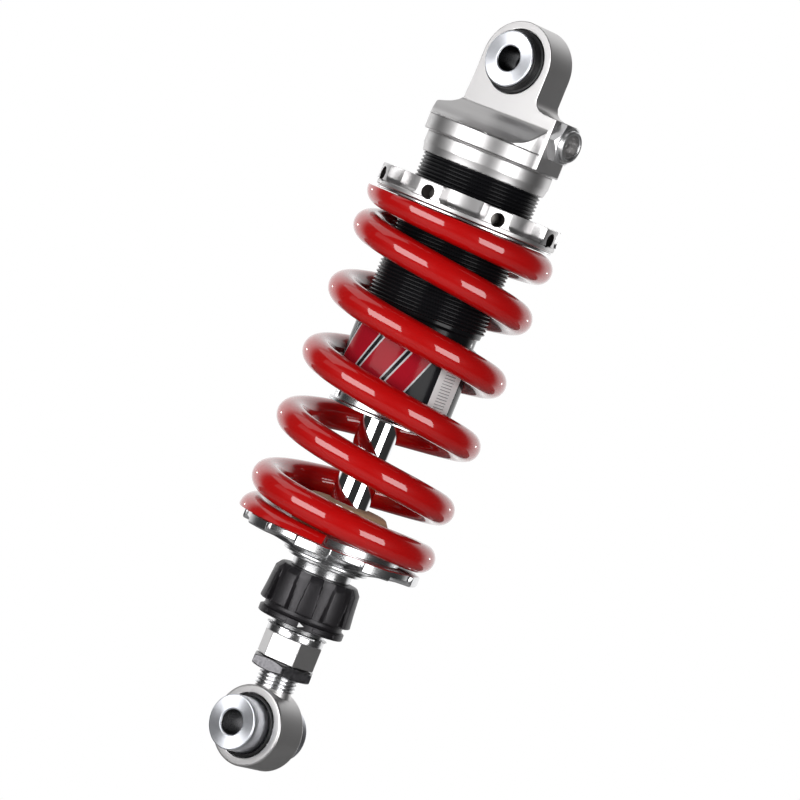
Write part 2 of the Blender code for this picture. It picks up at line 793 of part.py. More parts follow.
def wire(name, points, radius, look, parent, resolution):
    curve = bpy.data.curves.new(name, "CURVE")
    curve.dimensions = "3D"
    curve.bevel_depth = radius * MM
    curve.bevel_resolution = resolution
    curve.use_fill_caps = True
    spline = curve.splines.new("POLY")
    spline.points.add(len(points) - 1)
    for point, (x, y, z) in zip(spline.points, points):
        point.co = (x * MM, y * MM, z * MM, 1)
    return curve_to_part(name, curve, look, parent)


def build_spring(frame):
    spring = wire("spring", spring_points(20), WIRE_R, RED_PAINT, frame, 2)
    top = box("spring_top_grind", (-60, -60, SPRING_TOP), (60, 60, SPRING_TOP + 20))
    bottom = box("spring_bottom_grind", (-60, -60, SPRING_BOTTOM - 20), (60, 60, SPRING_BOTTOM))
    for cutter in (top, bottom):
        cutter.parent = frame
        boolean(spring, cutter)


def build_upper_seat(frame):
    outline = [
        (TUBE_THREAD_R + GAP, 215.8),
        (36.5, 215.8),
        (36.5, 214.9),
        (27.6, 214.9),
        (27.6, 211.0),
        (26.8, 210.2),
        (TUBE_THREAD_R + GAP, 210.2),
    ]
    turned("upper_spring_seat", outline, ALUMINIUM, frame, FINE)


def build_preload_ring(frame):
    """Castellated ring nut. Each lobe has a blind radial hole for a spanner pin."""
    base_outline = ring(TUBE_THREAD_R + GAP, 37.0, PRELOAD_BOTTOM, PRELOAD_BOTTOM + 2.1)
    base = turned("preload_ring", base_outline, ALUMINIUM, frame, FINE)
    pitch = 360 / PRELOAD_LOBES
    half = PRELOAD_LOBE_ANGLE / 2
    outline = []
    for lobe in range(PRELOAD_LOBES):
        center = PRELOAD_FIRST_LOBE + lobe * pitch
        outline += arc(0, 0, PRELOAD_LOBE_R, center - half, center + half, 3)
        outline += arc(0, 0, PRELOAD_HUB_R, center + half + 3, center + pitch - half - 3, 3)
    height = PRELOAD_TOP - PRELOAD_BOTTOM - 0.2
    crown = extruded("preload_crown", outline, height / 2, parent=frame)
    crown.location = (0, 0, (PRELOAD_TOP - height / 2) * MM)
    boolean(base, crown, "UNION")
    bore = turned("preload_bore", rod(TUBE_THREAD_R + GAP, 210, 230), parent=frame, steps=FINE)
    boolean(base, bore)
    for lobe in range(PRELOAD_LOBES):
        center = PRELOAD_FIRST_LOBE + lobe * pitch
        boolean(base, spoke(f"preload_pin_hole_{lobe}", 2.8, 30.5, 40, center, 220.6, frame, 10))


# Assembly ---------------------------------------------------------------------


def build_shock():
    damper = add_frame("damper_frame", None, -EYE_TO_EYE)
    upper_bush = add_frame("upper_bush_frame", damper, EYE_TO_EYE)
    gas_piston = add_frame("gas_piston_frame", damper)
    upper_seat = add_frame("upper_seat_frame", damper)
    preload = add_frame("preload_ring_frame", upper_seat)
    rod_frame = add_frame("rod_frame", damper)
    knob = add_frame("knob_frame", rod_frame)
    needle = add_frame("needle_frame", rod_frame)
    nut = add_frame("lock_nut_frame", rod_frame)
    eye = add_frame("lower_eye_frame", nut)
    lower_bush = add_frame("lower_bush_frame", eye)

    build_tube(damper)
    build_head(damper)
    build_gas_valve(damper)
    build_seal_head(damper)
    build_floating_piston(gas_piston)
    build_piston_rod(rod_frame)
    build_piston(rod_frame)
    build_rod_end(rod_frame)
    build_adjuster(needle, rod_frame, rod_frame)
    build_rebound_knob(knob)
    build_lower_seat(rod_frame)
    build_bump_stop(rod_frame)
    build_lock_nut(nut)
    build_lower_eye(eye)
    build_spring(damper)
    build_upper_seat(upper_seat)
    build_preload_ring(preload)
    build_eye_bush("upper", upper_bush, damper, EYE_TO_EYE, UPPER_COLLAR_FACE)
    build_eye_bush("lower", lower_bush, eye, 0.0, LOWER_COLLAR_FACE)
    finish_shading()


build_shock()
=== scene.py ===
"""Looks of the rear shock absorber: detailed pieces, materials, studio light and camera.

Lengths in the shape code are millimetres. Heights are measured up the shock axis from the lower
eye's centre, and up() turns one into the frame's z. Polar angles are degrees seen from above.
"""

import json
import math

import bmesh
import bpy
import numpy as np
from mathutils import Matrix, Vector


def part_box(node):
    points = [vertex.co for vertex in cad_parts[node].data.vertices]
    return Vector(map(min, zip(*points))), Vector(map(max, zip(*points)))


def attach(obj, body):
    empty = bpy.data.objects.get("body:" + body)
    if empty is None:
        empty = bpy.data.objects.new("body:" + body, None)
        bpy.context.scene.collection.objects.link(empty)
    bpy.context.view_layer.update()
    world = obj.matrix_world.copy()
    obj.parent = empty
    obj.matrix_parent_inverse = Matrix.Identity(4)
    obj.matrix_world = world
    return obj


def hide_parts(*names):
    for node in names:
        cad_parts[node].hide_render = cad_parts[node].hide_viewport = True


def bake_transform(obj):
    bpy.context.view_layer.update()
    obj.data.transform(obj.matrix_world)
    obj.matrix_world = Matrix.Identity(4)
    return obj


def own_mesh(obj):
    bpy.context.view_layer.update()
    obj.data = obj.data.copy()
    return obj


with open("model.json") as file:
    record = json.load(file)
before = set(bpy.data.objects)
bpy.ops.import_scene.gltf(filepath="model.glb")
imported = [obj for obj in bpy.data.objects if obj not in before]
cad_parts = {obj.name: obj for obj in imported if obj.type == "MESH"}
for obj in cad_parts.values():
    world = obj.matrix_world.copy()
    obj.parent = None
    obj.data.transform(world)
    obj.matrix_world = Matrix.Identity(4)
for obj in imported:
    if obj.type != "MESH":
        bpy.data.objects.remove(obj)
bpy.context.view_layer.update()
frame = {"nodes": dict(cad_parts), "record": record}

MM = 0.001
ON_AXIS = 1e-6

# Faces that meet at a smaller angle than this are shaded as one surface
SHADE_ANGLE = 32

# Points round a turned solid that is joined to another or cut from it
FINE_STEPS = 144
CUT_STEPS = 96


def span(node):
    """Lowest and highest corner of a CAD node, in millimetres."""
    low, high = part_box(node)
    return Vector(low) / MM, Vector(high) / MM


def middle(node):
    low, high = span(node)
    return (low + high) / 2


LOWER_EYE_Z = round(middle("lower_bearing_ball").z, 2)
EYE_TO_EYE = -LOWER_EYE_Z


def height_of(node, end):
    """Height of a node's bottom (end 0) or top (end 1) above the lower eye."""
    return span(node)[end].z - LOWER_EYE_Z


def up(height):
    return height + LOWER_EYE_Z


# Places that the frame gives
TUBE_TOP = height_of("damper_tube", 1)
TUBE_BOTTOM = height_of("damper_tube", 0)
RING_TOP = height_of("preload_ring", 1)
RING_BOTTOM = height_of("preload_ring", 0)
SPRING_TOP = height_of("spring", 1)
SPRING_BOTTOM = height_of("spring", 0)
SEAT_BOTTOM = height_of("lower_spring_seat", 0)
ROD_END_BOTTOM = height_of("rod_end", 0)
ROD_END_TOP = height_of("rod_end", 1)
KNOB_BOTTOM = height_of("rebound_knob", 0)
KNOB_TOP = height_of("rebound_knob", 1)
NUT_BOTTOM = height_of("lock_nut", 0)
NUT_TOP = height_of("lock_nut", 1)
FOAM_BOTTOM = height_of("bump_stop", 0)
FOAM_TOP = height_of("bump_stop", 1)
ROD_R = span("piston_rod")[1].x
UPPER_FACE = -span("upper_collar_front")[0].y
LOWER_FACE = -span("lower_collar_front")[0].y
VALVE_TIP = span("gas_valve_body")[1].x
VALVE_HEIGHT = middle("gas_valve_body").z - LOWER_EYE_Z

# Sizes of the surface detail
TUBE_THREAD_R = 24.5
TUBE_THREAD_BOTTOM = 173.8
TUBE_THREAD_DEPTH = 0.92
THREAD_PITCH = 1.5
STUD_R = 7.95
STUD_HOLE_R = 8.1
GAP = 0.3
EYE_HALF_WIDTH = 8.0
EYE_BORE_R = 13.0
BOLT_BORE_R = 5.0
COLLAR_R = 11.1
LUG_HALF_WIDTH = 16.25
HEAD_R = 28.0
BOSS_REACH = 28.5
COIL_R = 34.0
WIRE_R = 5.95
RING_LOBES = 8
RING_FIRST_LOBE = 9.0
RING_PITCH = 360 / RING_LOBES
SPANNER_HOLE_R = 2.9
SPANNER_HOLE_HEIGHT = 220.3
FRONT_ANGLE = 305.4

# Camera and floor
CAMERA_AZIMUTH = 35.4
CAMERA_ELEVATION = 2.63
CAMERA_ROLL = 22.1
CAMERA_DISTANCE = 1.955
CAMERA_LENS = 224.6
AIM_HEIGHT = 140.5
AIM_RIGHT = 3.3
FLOOR_DEPTH = 420.0
FLOOR_R = 1300.0


# Mesh helpers -----------------------------------------------------------------


def add_mesh(name, points, faces, material=None, smooth_angle=SHADE_ANGLE):
    """A mesh object from points in millimetres, at the frame's origin."""
    mesh = bpy.data.meshes.new(name)
    mesh.from_pydata([tuple(c * MM for c in p) for p in points], [], faces)
    mesh.validate()
    obj = bpy.data.objects.new(name, mesh)
    bpy.context.scene.collection.objects.link(obj)
    shade(obj, smooth_angle)
    if material:
        mesh.materials.append(material)
    return obj


def shade(obj, angle=SHADE_ANGLE):
    obj.data.shade_smooth()
    obj.data.set_sharp_from_angle(angle=math.radians(angle))


def rounded(outline, size, segments=3):
    """Replaces each corner by a short curve. Points on the axis stay as they are."""
    result = []
    count = len(outline)
    for i, point in enumerate(outline):
        if point[0] < ON_AXIS:
            result.append(point)
            continue
        corner = Vector(point)
        to_before = Vector(outline[i - 1]) - corner
        to_after = Vector(outline[(i + 1) % count]) - corner
        reach = min(size, 0.45 * to_before.length, 0.45 * to_after.length)
        start = corner + to_before.normalized() * reach
        stop = corner + to_after.normalized() * reach
        for k in range(segments + 1):
            t = k / segments
            curve = start * (1 - t) ** 2 + corner * 2 * t * (1 - t) + stop * t * t
            result.append((curve.x, curve.y))
    return result


def disc(radius, low, high):
    """Outline of a plain round bar for lathe()."""
    return [(0, high), (radius, high), (radius, low), (0, low)]


def place_on_axis(radius, turn, along, axis, height):
    """A turned point at a polar angle: about Z, about Y through an eye, or about X through the valve."""
    a = radius * math.cos(turn)
    b = radius * math.sin(turn)
    if axis == "Z":
        return (a, b, up(along))
    if axis == "Y":
        return (a, along, up(height) + b)
    return (along, a, up(height) + b)


def band_faces(rings, closed=True):
    """Faces between each ring of points and the next. A ring on the axis repeats one point."""
    faces = []
    following = rings[1:] + rings[:1] if closed else rings[1:]
    for upper, lower in zip(rings, following):
        for i in range(len(upper)):
            j = (i + 1) % len(upper)
            face = list(dict.fromkeys((upper[i], lower[i], lower[j], upper[j])))
            if len(face) > 2:
                faces.append(face)
    return faces


def lathe(name, outline, material=None, steps=128, axis="Z", height=0.0):
    """Turned solid. The outline is (radius, position) points, down the outer side and up the inner side."""
    points = []
    rings = []
    for radius, along in outline:
        start = len(points)
        if radius < ON_AXIS:
            points.append(place_on_axis(0, 0, along, axis, height))
            rings.append([start] * steps)
            continue
        for i in range(steps):
            points.append(place_on_axis(radius, 2 * math.pi * i / steps, along, axis, height))
        rings.append(list(range(start, start + steps)))
    meets_axis = outline[0][0] < ON_AXIS and outline[-1][0] < ON_AXIS
    obj = add_mesh(name, points, band_faces(rings, not meets_axis), material)
    face_outward(obj)
    return obj


def shaped_ring(name, rows, place_at, material, smooth_angle):
    """Closed solid round the axis. place_at(row, angle) gives a row's radius and height at a polar angle."""
    steps = 720
    points = []
    for row in rows:
        for i in range(steps):
            angle = 360 * i / steps
            turn = math.radians(angle)
            radius, height = place_at(row, angle)
            points.append((radius * math.cos(turn), radius * math.sin(turn), up(height)))
    rings = [list(range(steps * k, steps * (k + 1))) for k in range(len(rows))]
    obj = add_mesh(name, points, band_faces(rings), material, smooth_angle)
    face_outward(obj, smooth_angle)
    return obj


def face_outward(obj, smooth_angle=SHADE_ANGLE):
    shape = bmesh.new()
    shape.from_mesh(obj.data)
    bmesh.ops.recalc_face_normals(shape, faces=shape.faces)
    if shape.calc_volume(signed=True) < 0:
        bmesh.ops.reverse_faces(shape, faces=shape.faces)
    shape.to_mesh(obj.data)
    shape.free()
    shade(obj, smooth_angle)


def prism(name, outline, low, high, axis="Z", material=None):
    """A flat outline pushed from low to high along an axis. Across Y the outline is (x, height)."""
    points = []
    for along in (low, high):
        for a, b in outline:
            if axis == "Z":
                points.append((a, b, up(along)))
            elif axis == "Y":
                points.append((a, along, up(b)))
            else:
                points.append((along, a, up(b)))
    count = len(outline)
    faces = [tuple(range(count)), tuple(range(2 * count - 1, count - 1, -1))]
    for i in range(count):
        j = (i + 1) % count
        faces.append((i, j, count + j, count + i))
    obj = add_mesh(name, points, faces, material)
    face_outward(obj)
    return obj


def apply_modifiers(obj):
    bpy.context.view_layer.update()
    graph = bpy.context.evaluated_depsgraph_get()
    mesh = bpy.data.meshes.new_from_object(obj.evaluated_get(graph))
    obj.modifiers.clear()
    obj.data = mesh


def combine(obj, other, operation="DIFFERENCE"):
    """Joins another solid to this one or cuts it away, then removes it."""
    modifier = obj.modifiers.new("combine", "BOOLEAN")
    modifier.operation = operation
    modifier.solver = "EXACT"
    modifier.object = other
    apply_modifiers(obj)
    bpy.data.objects.remove(other)


def soften(obj, width):
    """Rounds the edges, and keeps the flats flat."""
    bevel = obj.modifiers.new("bevel", "BEVEL")
    bevel.width = width * MM
    bevel.segments = 2
    bevel.limit_method = "ANGLE"
    bevel.angle_limit = math.radians(35)
    bevel.use_clamp_overlap = False
    bevel.miter_outer = "MITER_ARC"
    apply_modifiers(obj)
    shade(obj, 40)
    normals = obj.modifiers.new("normals", "WEIGHTED_NORMAL")
    normals.keep_sharp = True
    normals.weight = 100


def arc(center_x, center_y, radius, start, stop, count):
    angles = [math.radians(start + (stop - start) * i / (count - 1)) for i in range(count)]
    return [(center_x + radius * math.cos(a), center_y + radius * math.sin(a)) for a in angles]


def polygon(sides, across_flats, turn=0.0):
    radius = across_flats / 2 / math.cos(math.pi / sides)
    return arc(0, 0, radius, turn + 180 / sides, turn + 540 / sides + 360 * (1 - 2 / sides), sides)


def spoke_cutter(radius, start, stop, angle, height, chamfer=0.0):
    """A drill along a polar angle. A chamfer widens its outer end."""
    outline = [(0, stop), (radius + chamfer, stop)]
    if chamfer:
        outline += [(radius + chamfer, stop - 0.01), (radius, stop - chamfer - 0.01)]
    outline += [(radius, start), (0, start)]
    cutter = lathe("drill", outline, steps=40, axis="X", height=height)
    cutter.data.transform(Matrix.Rotation(math.radians(angle), 4, "Z"))
    return cutter


def lay_along_x(obj, height, start=0.0):
    """Turns a solid from the shock's axis to one across it, such as the valve's."""
    obj.data.transform(Matrix.Translation((0, 0, -up(0) * MM)))
    obj.data.transform(Matrix.Rotation(math.radians(90), 4, "Y"))
    obj.data.transform(Matrix.Translation((start * MM, 0, up(height) * MM)))


def smooth(value):
    value = min(max(value, 0.0), 1.0)
    return value * value * (3 - 2 * value)


def lobe_share(angle, first, count, top_width, flank):
    """1 on a lobe, 0 in a groove, and a smooth flank between. All in degrees."""
    pitch = 360 / count
    offset = abs((angle - first + pitch / 2) % pitch - pitch / 2)
    return 1 - smooth((offset - top_width / 2) / flank)


# Materials --------------------------------------------------------------------


RANGE_SOCKETS = ("From Min", "From Max", "To Min", "To Max")

# Places of a Mix node's two colours and its colour result, which share their names with other kinds
MIX_FIRST = 6
MIX_SECOND = 7
MIX_RESULT = 2


class Look:
    """A Principled material with nodes added one at a time."""

    def __init__(self, name, color, roughness, metallic=0.0, **sockets):
        self.material = bpy.data.materials.new(name)
        self.material.use_nodes = True
        self.nodes = self.material.node_tree.nodes
        self.links = self.material.node_tree.links
        self.shader = self.nodes["Principled BSDF"]
        self.shader.inputs["Base Color"].default_value = (*color, 1.0)
        self.shader.inputs["Roughness"].default_value = roughness
        self.shader.inputs["Metallic"].default_value = metallic
        self.color = color
        self.roughness = roughness
        for socket, value in sockets.items():
            self.shader.inputs[socket.replace("_", " ")].default_value = value
        self.place = self.nodes.new("ShaderNodeTexCoord").outputs["Object"]
        self.normal = None

    def node(self, kind, **settings):
        made = self.nodes.new("ShaderNode" + kind)
        for key, value in settings.items():
            setattr(made, key, value)
        return made

    def connect(self, source, target):
        self.links.new(source, target)

    def value_of(self, operation, *inputs):
        made = self.node("Math", operation=operation)
        for socket, item in zip(made.inputs, inputs):
            self.feed(socket, item)
        return made.outputs[0]

    def feed(self, socket, item):
        if isinstance(item, (int, float)):
            socket.default_value = item
        else:
            self.connect(item, socket)

    def noise(self, scale, detail=3.0, vector=None, roughness=0.5):
        made = self.node("TexNoise")
        made.inputs["Scale"].default_value = scale
        made.inputs["Detail"].default_value = detail
        made.inputs["Roughness"].default_value = roughness
        self.connect(vector or self.place, made.inputs["Vector"])
        return made.outputs["Fac"]

    def remap(self, value, low, high, to_low, to_high):
        made = self.node("MapRange")
        self.feed(made.inputs["Value"], value)
        for socket, number in zip(RANGE_SOCKETS, (low, high, to_low, to_high)):
            made.inputs[socket].default_value = number
        return made.outputs["Result"]

    def mix(self, factor, first, second):
        """Mixes two colours, each given as numbers or as a socket."""
        made = self.node("Mix", data_type="RGBA")
        self.feed(made.inputs["Factor"], factor)
        for place, item in ((MIX_FIRST, first), (MIX_SECOND, second)):
            if isinstance(item, tuple):
                made.inputs[place].default_value = (*item, 1.0)
            else:
                self.connect(item, made.inputs[place])
        return made.outputs[MIX_RESULT]

    def vary_color(self, value, spread):
        """Lightens and darkens the base colour a little."""
        dark = tuple(c * (1 - spread) for c in self.color)
        light = tuple(min(1.0, c * (1 + spread)) for c in self.color)
        self.connect(self.mix(value, dark, light), self.shader.inputs["Base Color"])

    def vary_roughness(self, value, spread):
        low = max(0.02, self.roughness - spread)
        varied = self.remap(value, 0.3, 0.7, low, self.roughness + spread)
        self.connect(varied, self.shader.inputs["Roughness"])

    def bump(self, value, strength, depth):
        made = self.node("Bump")
        made.inputs["Strength"].default_value = strength
        made.inputs["Distance"].default_value = depth * MM
        self.connect(value, made.inputs["Height"])
        if self.normal:
            self.connect(self.normal, made.inputs["Normal"])
        self.normal = made.outputs["Normal"]
        self.connect(self.normal, self.shader.inputs["Normal"])

    def ring_position(self, axis, center_z):
        """Distance from an axis plus the distance along it, so that turning marks run round every face."""
        made = self.node("SeparateXYZ")
        self.connect(self.place, made.inputs["Vector"])
        x, y, z = made.outputs
        if axis == "Z":
            first, second, along = x, y, z
        elif axis == "Y":
            first, second, along = x, self.value_of("SUBTRACT", z, center_z * MM), y
        else:
            first, second, along = y, self.value_of("SUBTRACT", z, center_z * MM), x
        first_square = self.value_of("MULTIPLY", first, first)
        second_square = self.value_of("MULTIPLY", second, second)
        square = self.value_of("ADD", first_square, second_square)
        return self.value_of("ADD", self.value_of("SQRT", square), along)

    def turning_marks(self, axis="Z", center_z=0.0, spacing=0.12, strength=0.25, depth=0.004):
        """Fine rings from the lathe tool, about so many millimetres apart."""
        position = self.ring_position(axis, center_z)
        vector = self.node("CombineXYZ")
        self.connect(self.value_of("MULTIPLY", position, 1 / (spacing * MM)), vector.inputs["X"])
        marks = self.noise(1.0, 4.0, vector.outputs["Vector"], 0.7)
        self.vary_roughness(marks, 0.05)
        self.bump(marks, strength, depth)


def satin_aluminium():
    look = Look("satin_aluminium", (0.63, 0.62, 0.62), 0.38, 1.0)
    look.vary_color(look.noise(60.0, 4.0), 0.03)
    look.vary_roughness(look.noise(900.0, 3.0), 0.012)
    look.bump(look.noise(4200.0, 1.0), 0.10, 0.006)
    return look.material


def turned_aluminium(name, color, roughness, axis="Z", center_z=0.0):
    look = Look(name, color, roughness, 1.0)
    look.vary_color(look.noise(120.0, 3.0), 0.03)
    look.turning_marks(axis, center_z)
    return look.material


def collar_metal(name, center_z):
    """Bright turned face with rings round the bolt hole and a brushed sheen."""
    look = Look(name, (0.86, 0.88, 0.93), 0.34, 1.0, Anisotropic=0.75)
    tangent = look.node("Tangent", direction_type="RADIAL", axis="Y")
    look.connect(tangent.outputs["Tangent"], look.shader.inputs["Tangent"])
    look.turning_marks("Y", center_z, 0.22, 0.55, 0.010)
    return look.material


def chrome():
    look = Look("hard_chrome", (0.90, 0.91, 0.93), 0.045, 1.0)
    look.vary_roughness(look.noise(400.0, 3.0), 0.015)
    look.bump(look.noise(1500.0, 2.0), 0.03, 0.002)
    return look.material


def black_anodised():
    look = Look("black_anodised", (0.007, 0.007, 0.008), 0.17, 0.0, Specular_IOR_Level=0.2)
    look.vary_color(look.noise(300.0, 3.0), 0.25)
    look.vary_roughness(look.noise(1600.0, 2.0), 0.05)
    look.bump(look.noise(5000.0, 2.0), 0.12, 0.008)
    return look.material


def knob_black():
    """Blasted and dyed finish that sparkles a little."""
    look = Look("knob_black", (0.022, 0.020, 0.023), 0.40, 0.5, Specular_IOR_Level=0.7)
    grain = look.noise(3800.0, 2.0)
    look.vary_color(look.noise(700.0, 3.0), 0.25)
    look.vary_roughness(grain, 0.10)
    look.bump(grain, 0.55, 0.03)
    return look.material


def nut_black():
    look = Look("black_zinc", (0.085, 0.083, 0.088), 0.15, 0.9)
    look.vary_color(look.noise(500.0, 3.0), 0.2)
    look.vary_roughness(look.noise(1200.0, 2.0), 0.07)
    look.bump(look.noise(3000.0, 2.0), 0.15, 0.010)
    return look.material


def spring_red():
    """Powder coat: deep red under a clear gloss with a faint orange peel."""
    gloss = {"Coat_Weight": 1.0, "Coat_Roughness": 0.04, "Coat_IOR": 1.62, "Specular_IOR_Level": 0.1}
    look = Look("spring_red", (0.48, 0.002, 0.002), 0.4, **gloss)
    look.vary_color(look.noise(45.0, 3.0), 0.06)
    look.vary_roughness(look.noise(800.0, 2.0), 0.05)
    look.bump(look.noise(420.0, 2.0), 0.10, 0.02)
    return look.material


def rubber():
    look = Look("seal_rubber", (0.009, 0.009, 0.010), 0.42, 0.0, Specular_IOR_Level=0.45)
    look.vary_color(look.noise(900.0, 3.0), 0.3)
    look.vary_roughness(look.noise(2500.0, 2.0), 0.08)
    look.bump(look.noise(2600.0, 3.0), 0.2, 0.02)
    return look.material


def foam():
    """Closed-cell foam with small open pores in its skin."""
    look = Look("bump_stop_foam", (0.50, 0.35, 0.21), 0.82, 0.0)
    cells = look.node("TexVoronoi")
    cells.inputs["Scale"].default_value = 1500.0
    look.connect(look.place, cells.inputs["Vector"])
    look.vary_color(look.noise(700.0, 4.0), 0.22)
    look.vary_roughness(look.noise(900.0, 2.0), 0.06)
    look.bump(cells.outputs["Distance"], 0.5, 0.12)
    return look.material


def bronze():
    look = Look("bearing_bronze", (0.55, 0.36, 0.18), 0.32, 1.0)
    look.vary_color(look.noise(300.0, 3.0), 0.08)
    look.turning_marks("Z")
    return look.material


def steel():
    look = Look("machined_steel", (0.62, 0.62, 0.63), 0.24, 1.0)
    look.vary_color(look.noise(300.0, 3.0), 0.05)
    look.vary_roughness(look.noise(1500.0, 2.0), 0.06)
    look.bump(look.noise(3000.0, 2.0), 0.1, 0.006)
    return look.material


def painted_shade_metal(name, color, roughness):
    """Metal painted darker to stand for the shade deep in a hole, where little light reaches it."""
    look = Look(name, color, roughness, 1.0)
    look.vary_color(look.noise(400.0, 3.0), 0.12)
    look.vary_roughness(look.noise(1800.0, 2.0), 0.06)
    return look.material


def label_film():
    """Printed foil: red and black slanted panels with fine silver lines, and a white strip at the right."""
    look = Look("label_film", (0.02, 0.02, 0.022), 0.14, 0.0, Specular_IOR_Level=0.1)
    split = look.node("SeparateXYZ")
    look.connect(look.place, split.inputs["Vector"])
    x, y, z = split.outputs
    front = math.radians(FRONT_ANGLE - 360)
    slant_middle = up(153.0) * MM
    slant_per_metre = 1000 / 60
    across = look.value_of("SUBTRACT", look.value_of("ARCTAN2", y, x), front)
    lean = look.value_of("MULTIPLY", look.value_of("SUBTRACT", z, slant_middle), slant_per_metre)
    slanted = look.value_of("SUBTRACT", across, lean)

    def band(value, low, high):
        above = look.value_of("GREATER_THAN", value, low)
        below = look.value_of("LESS_THAN", value, high)
        return look.value_of("MULTIPLY", above, below)

    black = (0.012, 0.012, 0.014)
    red = (0.34, 0.008, 0.018)
    silver = (0.55, 0.55, 0.57)
    white = (0.72, 0.72, 0.72)
    grey = (0.20, 0.20, 0.21)
    line = 0.03
    color = black
    for start, width in ((-1.25, 0.50), (-0.62, 0.42), (-0.08, 0.34)):
        color = look.mix(band(slanted, start - line, start + width + line), color, silver)
        color = look.mix(band(slanted, start, start + width), color, red)
    color = look.mix(band(z, up(140.2) * MM, up(140.8) * MM), color, silver)
    strip = band(across, 0.60, 1.15)
    ruling = band(across, 0.72, 0.98)
    radians_per_metre = 5200.0
    wave = look.value_of("SINE", look.value_of("MULTIPLY", z, radians_per_metre))
    lines = look.value_of("GREATER_THAN", wave, 0.72)
    ruled = look.mix(look.value_of("MULTIPLY", lines, ruling), white, grey)
    color = look.mix(strip, color, ruled)
    look.connect(color, look.shader.inputs["Base Color"])
    look.vary_roughness(look.noise(900.0, 2.0), 0.03)
    look.bump(look.noise(260.0, 2.0), 0.04, 0.01)
    return look.material


SATIN = satin_aluminium()
TURNED = turned_aluminium("turned_aluminium", (0.72, 0.72, 0.73), 0.22)
CHROME = chrome()
BLACK = black_anodised()
KNOB_BLACK = knob_black()
NUT_BLACK = nut_black()
RED = spring_red()
RUBBER = rubber()
FOAM = foam()
BRONZE = bronze()
STEEL = steel()
LABEL = label_film()
UPPER_COLLAR_METAL = collar_metal("upper_collar_metal", 0.0)
LOWER_COLLAR_METAL = collar_metal("lower_collar_metal", LOWER_EYE_Z)
# Painted shade: darker metals that stand in for the shade inside the bolt bores and the spanner holes
UPPER_BORE_PAINTED_SHADE = painted_shade_metal("upper_bore_painted_shade", (0.075, 0.077, 0.082), 0.30)
LOWER_BORE_PAINTED_SHADE = painted_shade_metal("lower_bore_painted_shade", (0.34, 0.34, 0.35), 0.30)
SPANNER_HOLE_PAINTED_SHADE = painted_shade_metal("spanner_hole_painted_shade", (0.20, 0.19, 0.18), 0.38)
VALVE_METAL = turned_aluminium("valve_metal", (0.80, 0.80, 0.81), 0.32, "X", up(VALVE_HEIGHT))


def settle(obj, body, slot, *nodes):
    """Rides on a body and stands for CAD nodes. The slot is not used."""
    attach(obj, body)
    if nodes:
        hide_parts(*nodes)


# Threads ----------------------------------------------------------------------


def thread(name, crest_r, depth, bottom, top, material):
    """Right-hand external thread. It runs out into the shaft at both ends."""
    steps = 72
    turns = (top - bottom) / THREAD_PITCH
    count = round(turns * steps)
    profile = ((0.0, 0.0), (0.36, 1.0), (0.64, 1.0))
    run_out_turns = 0.5
    sunk = 0.05
    points = []
    for i in range(count + 1):
        turn = i / steps
        full = min(smooth(turn / run_out_turns), smooth((turns - turn) / run_out_turns))
        angle = 2 * math.pi * turn
        for along, rise in profile:
            radius = crest_r - depth + depth * rise * full - sunk * (1 - full)
            height = bottom + (turn + along - 0.5) * THREAD_PITCH
            points.append((radius * math.cos(angle), radius * math.sin(angle), up(height)))
    faces = []
    for i in range(count):
        row = 3 * i
        after = row + 3
        faces.append((row, after, after + 1, row + 1))
        faces.append((row + 1, after + 1, after + 2, row + 2))
        next_turn = i + steps
        if next_turn < count:
            faces.append((row + 2, after + 2, 3 * (next_turn + 1), 3 * next_turn))
    return add_mesh(name, points, faces, material, 60)


# Damper tube, seal head and rod -----------------------------------------------


def build_tube():
    plain_r = 24.3
    relief_r = 22.5
    bore_r = 20.0
    core_r = TUBE_THREAD_R - TUBE_THREAD_DEPTH
    relief_bottom = 169.0
    outline = [
        (bore_r, TUBE_TOP), (core_r, TUBE_TOP), (core_r, TUBE_THREAD_BOTTOM),
        (relief_r, TUBE_THREAD_BOTTOM - 0.7), (relief_r, relief_bottom + 0.5),
        (plain_r, relief_bottom - 0.2), (plain_r, TUBE_BOTTOM + 0.6), (plain_r - 0.6, TUBE_BOTTOM),
        (bore_r, TUBE_BOTTOM),
    ]
    tube = lathe("tube_body", rounded(outline, 0.3), BLACK)
    settle(tube, "damper", "black_anodised", "damper_tube")
    low, high = TUBE_THREAD_BOTTOM + 0.8, TUBE_TOP - 0.5
    screw = thread("tube_thread", TUBE_THREAD_R, TUBE_THREAD_DEPTH, low, high, BLACK)
    settle(screw, "damper", "black_anodised")


def build_label():
    """A thin film wrapped round two thirds of the tube."""
    inner_r, outer_r = 24.32, 24.42
    bottom, top = 138.4, 168.2
    start = math.radians(FRONT_ANGLE - 150)
    steps = 180
    points = []
    for i in range(steps + 1):
        angle = start + math.radians(240) * i / steps
        for radius, height in ((inner_r, bottom), (outer_r, bottom), (outer_r, top), (inner_r, top)):
            points.append((radius * math.cos(angle), radius * math.sin(angle), up(height)))
    faces = [(3, 2, 1, 0), tuple(4 * steps + k for k in range(4))]
    for i in range(steps):
        for k in range(4):
            m = (k + 1) % 4
            faces.append((4 * i + k, 4 * i + m, 4 * i + 4 + m, 4 * i + 4 + k))
    film = add_mesh("tube_label_film", points, faces, LABEL)
    face_outward(film)
    settle(film, "damper", "label_film", "tube_label")


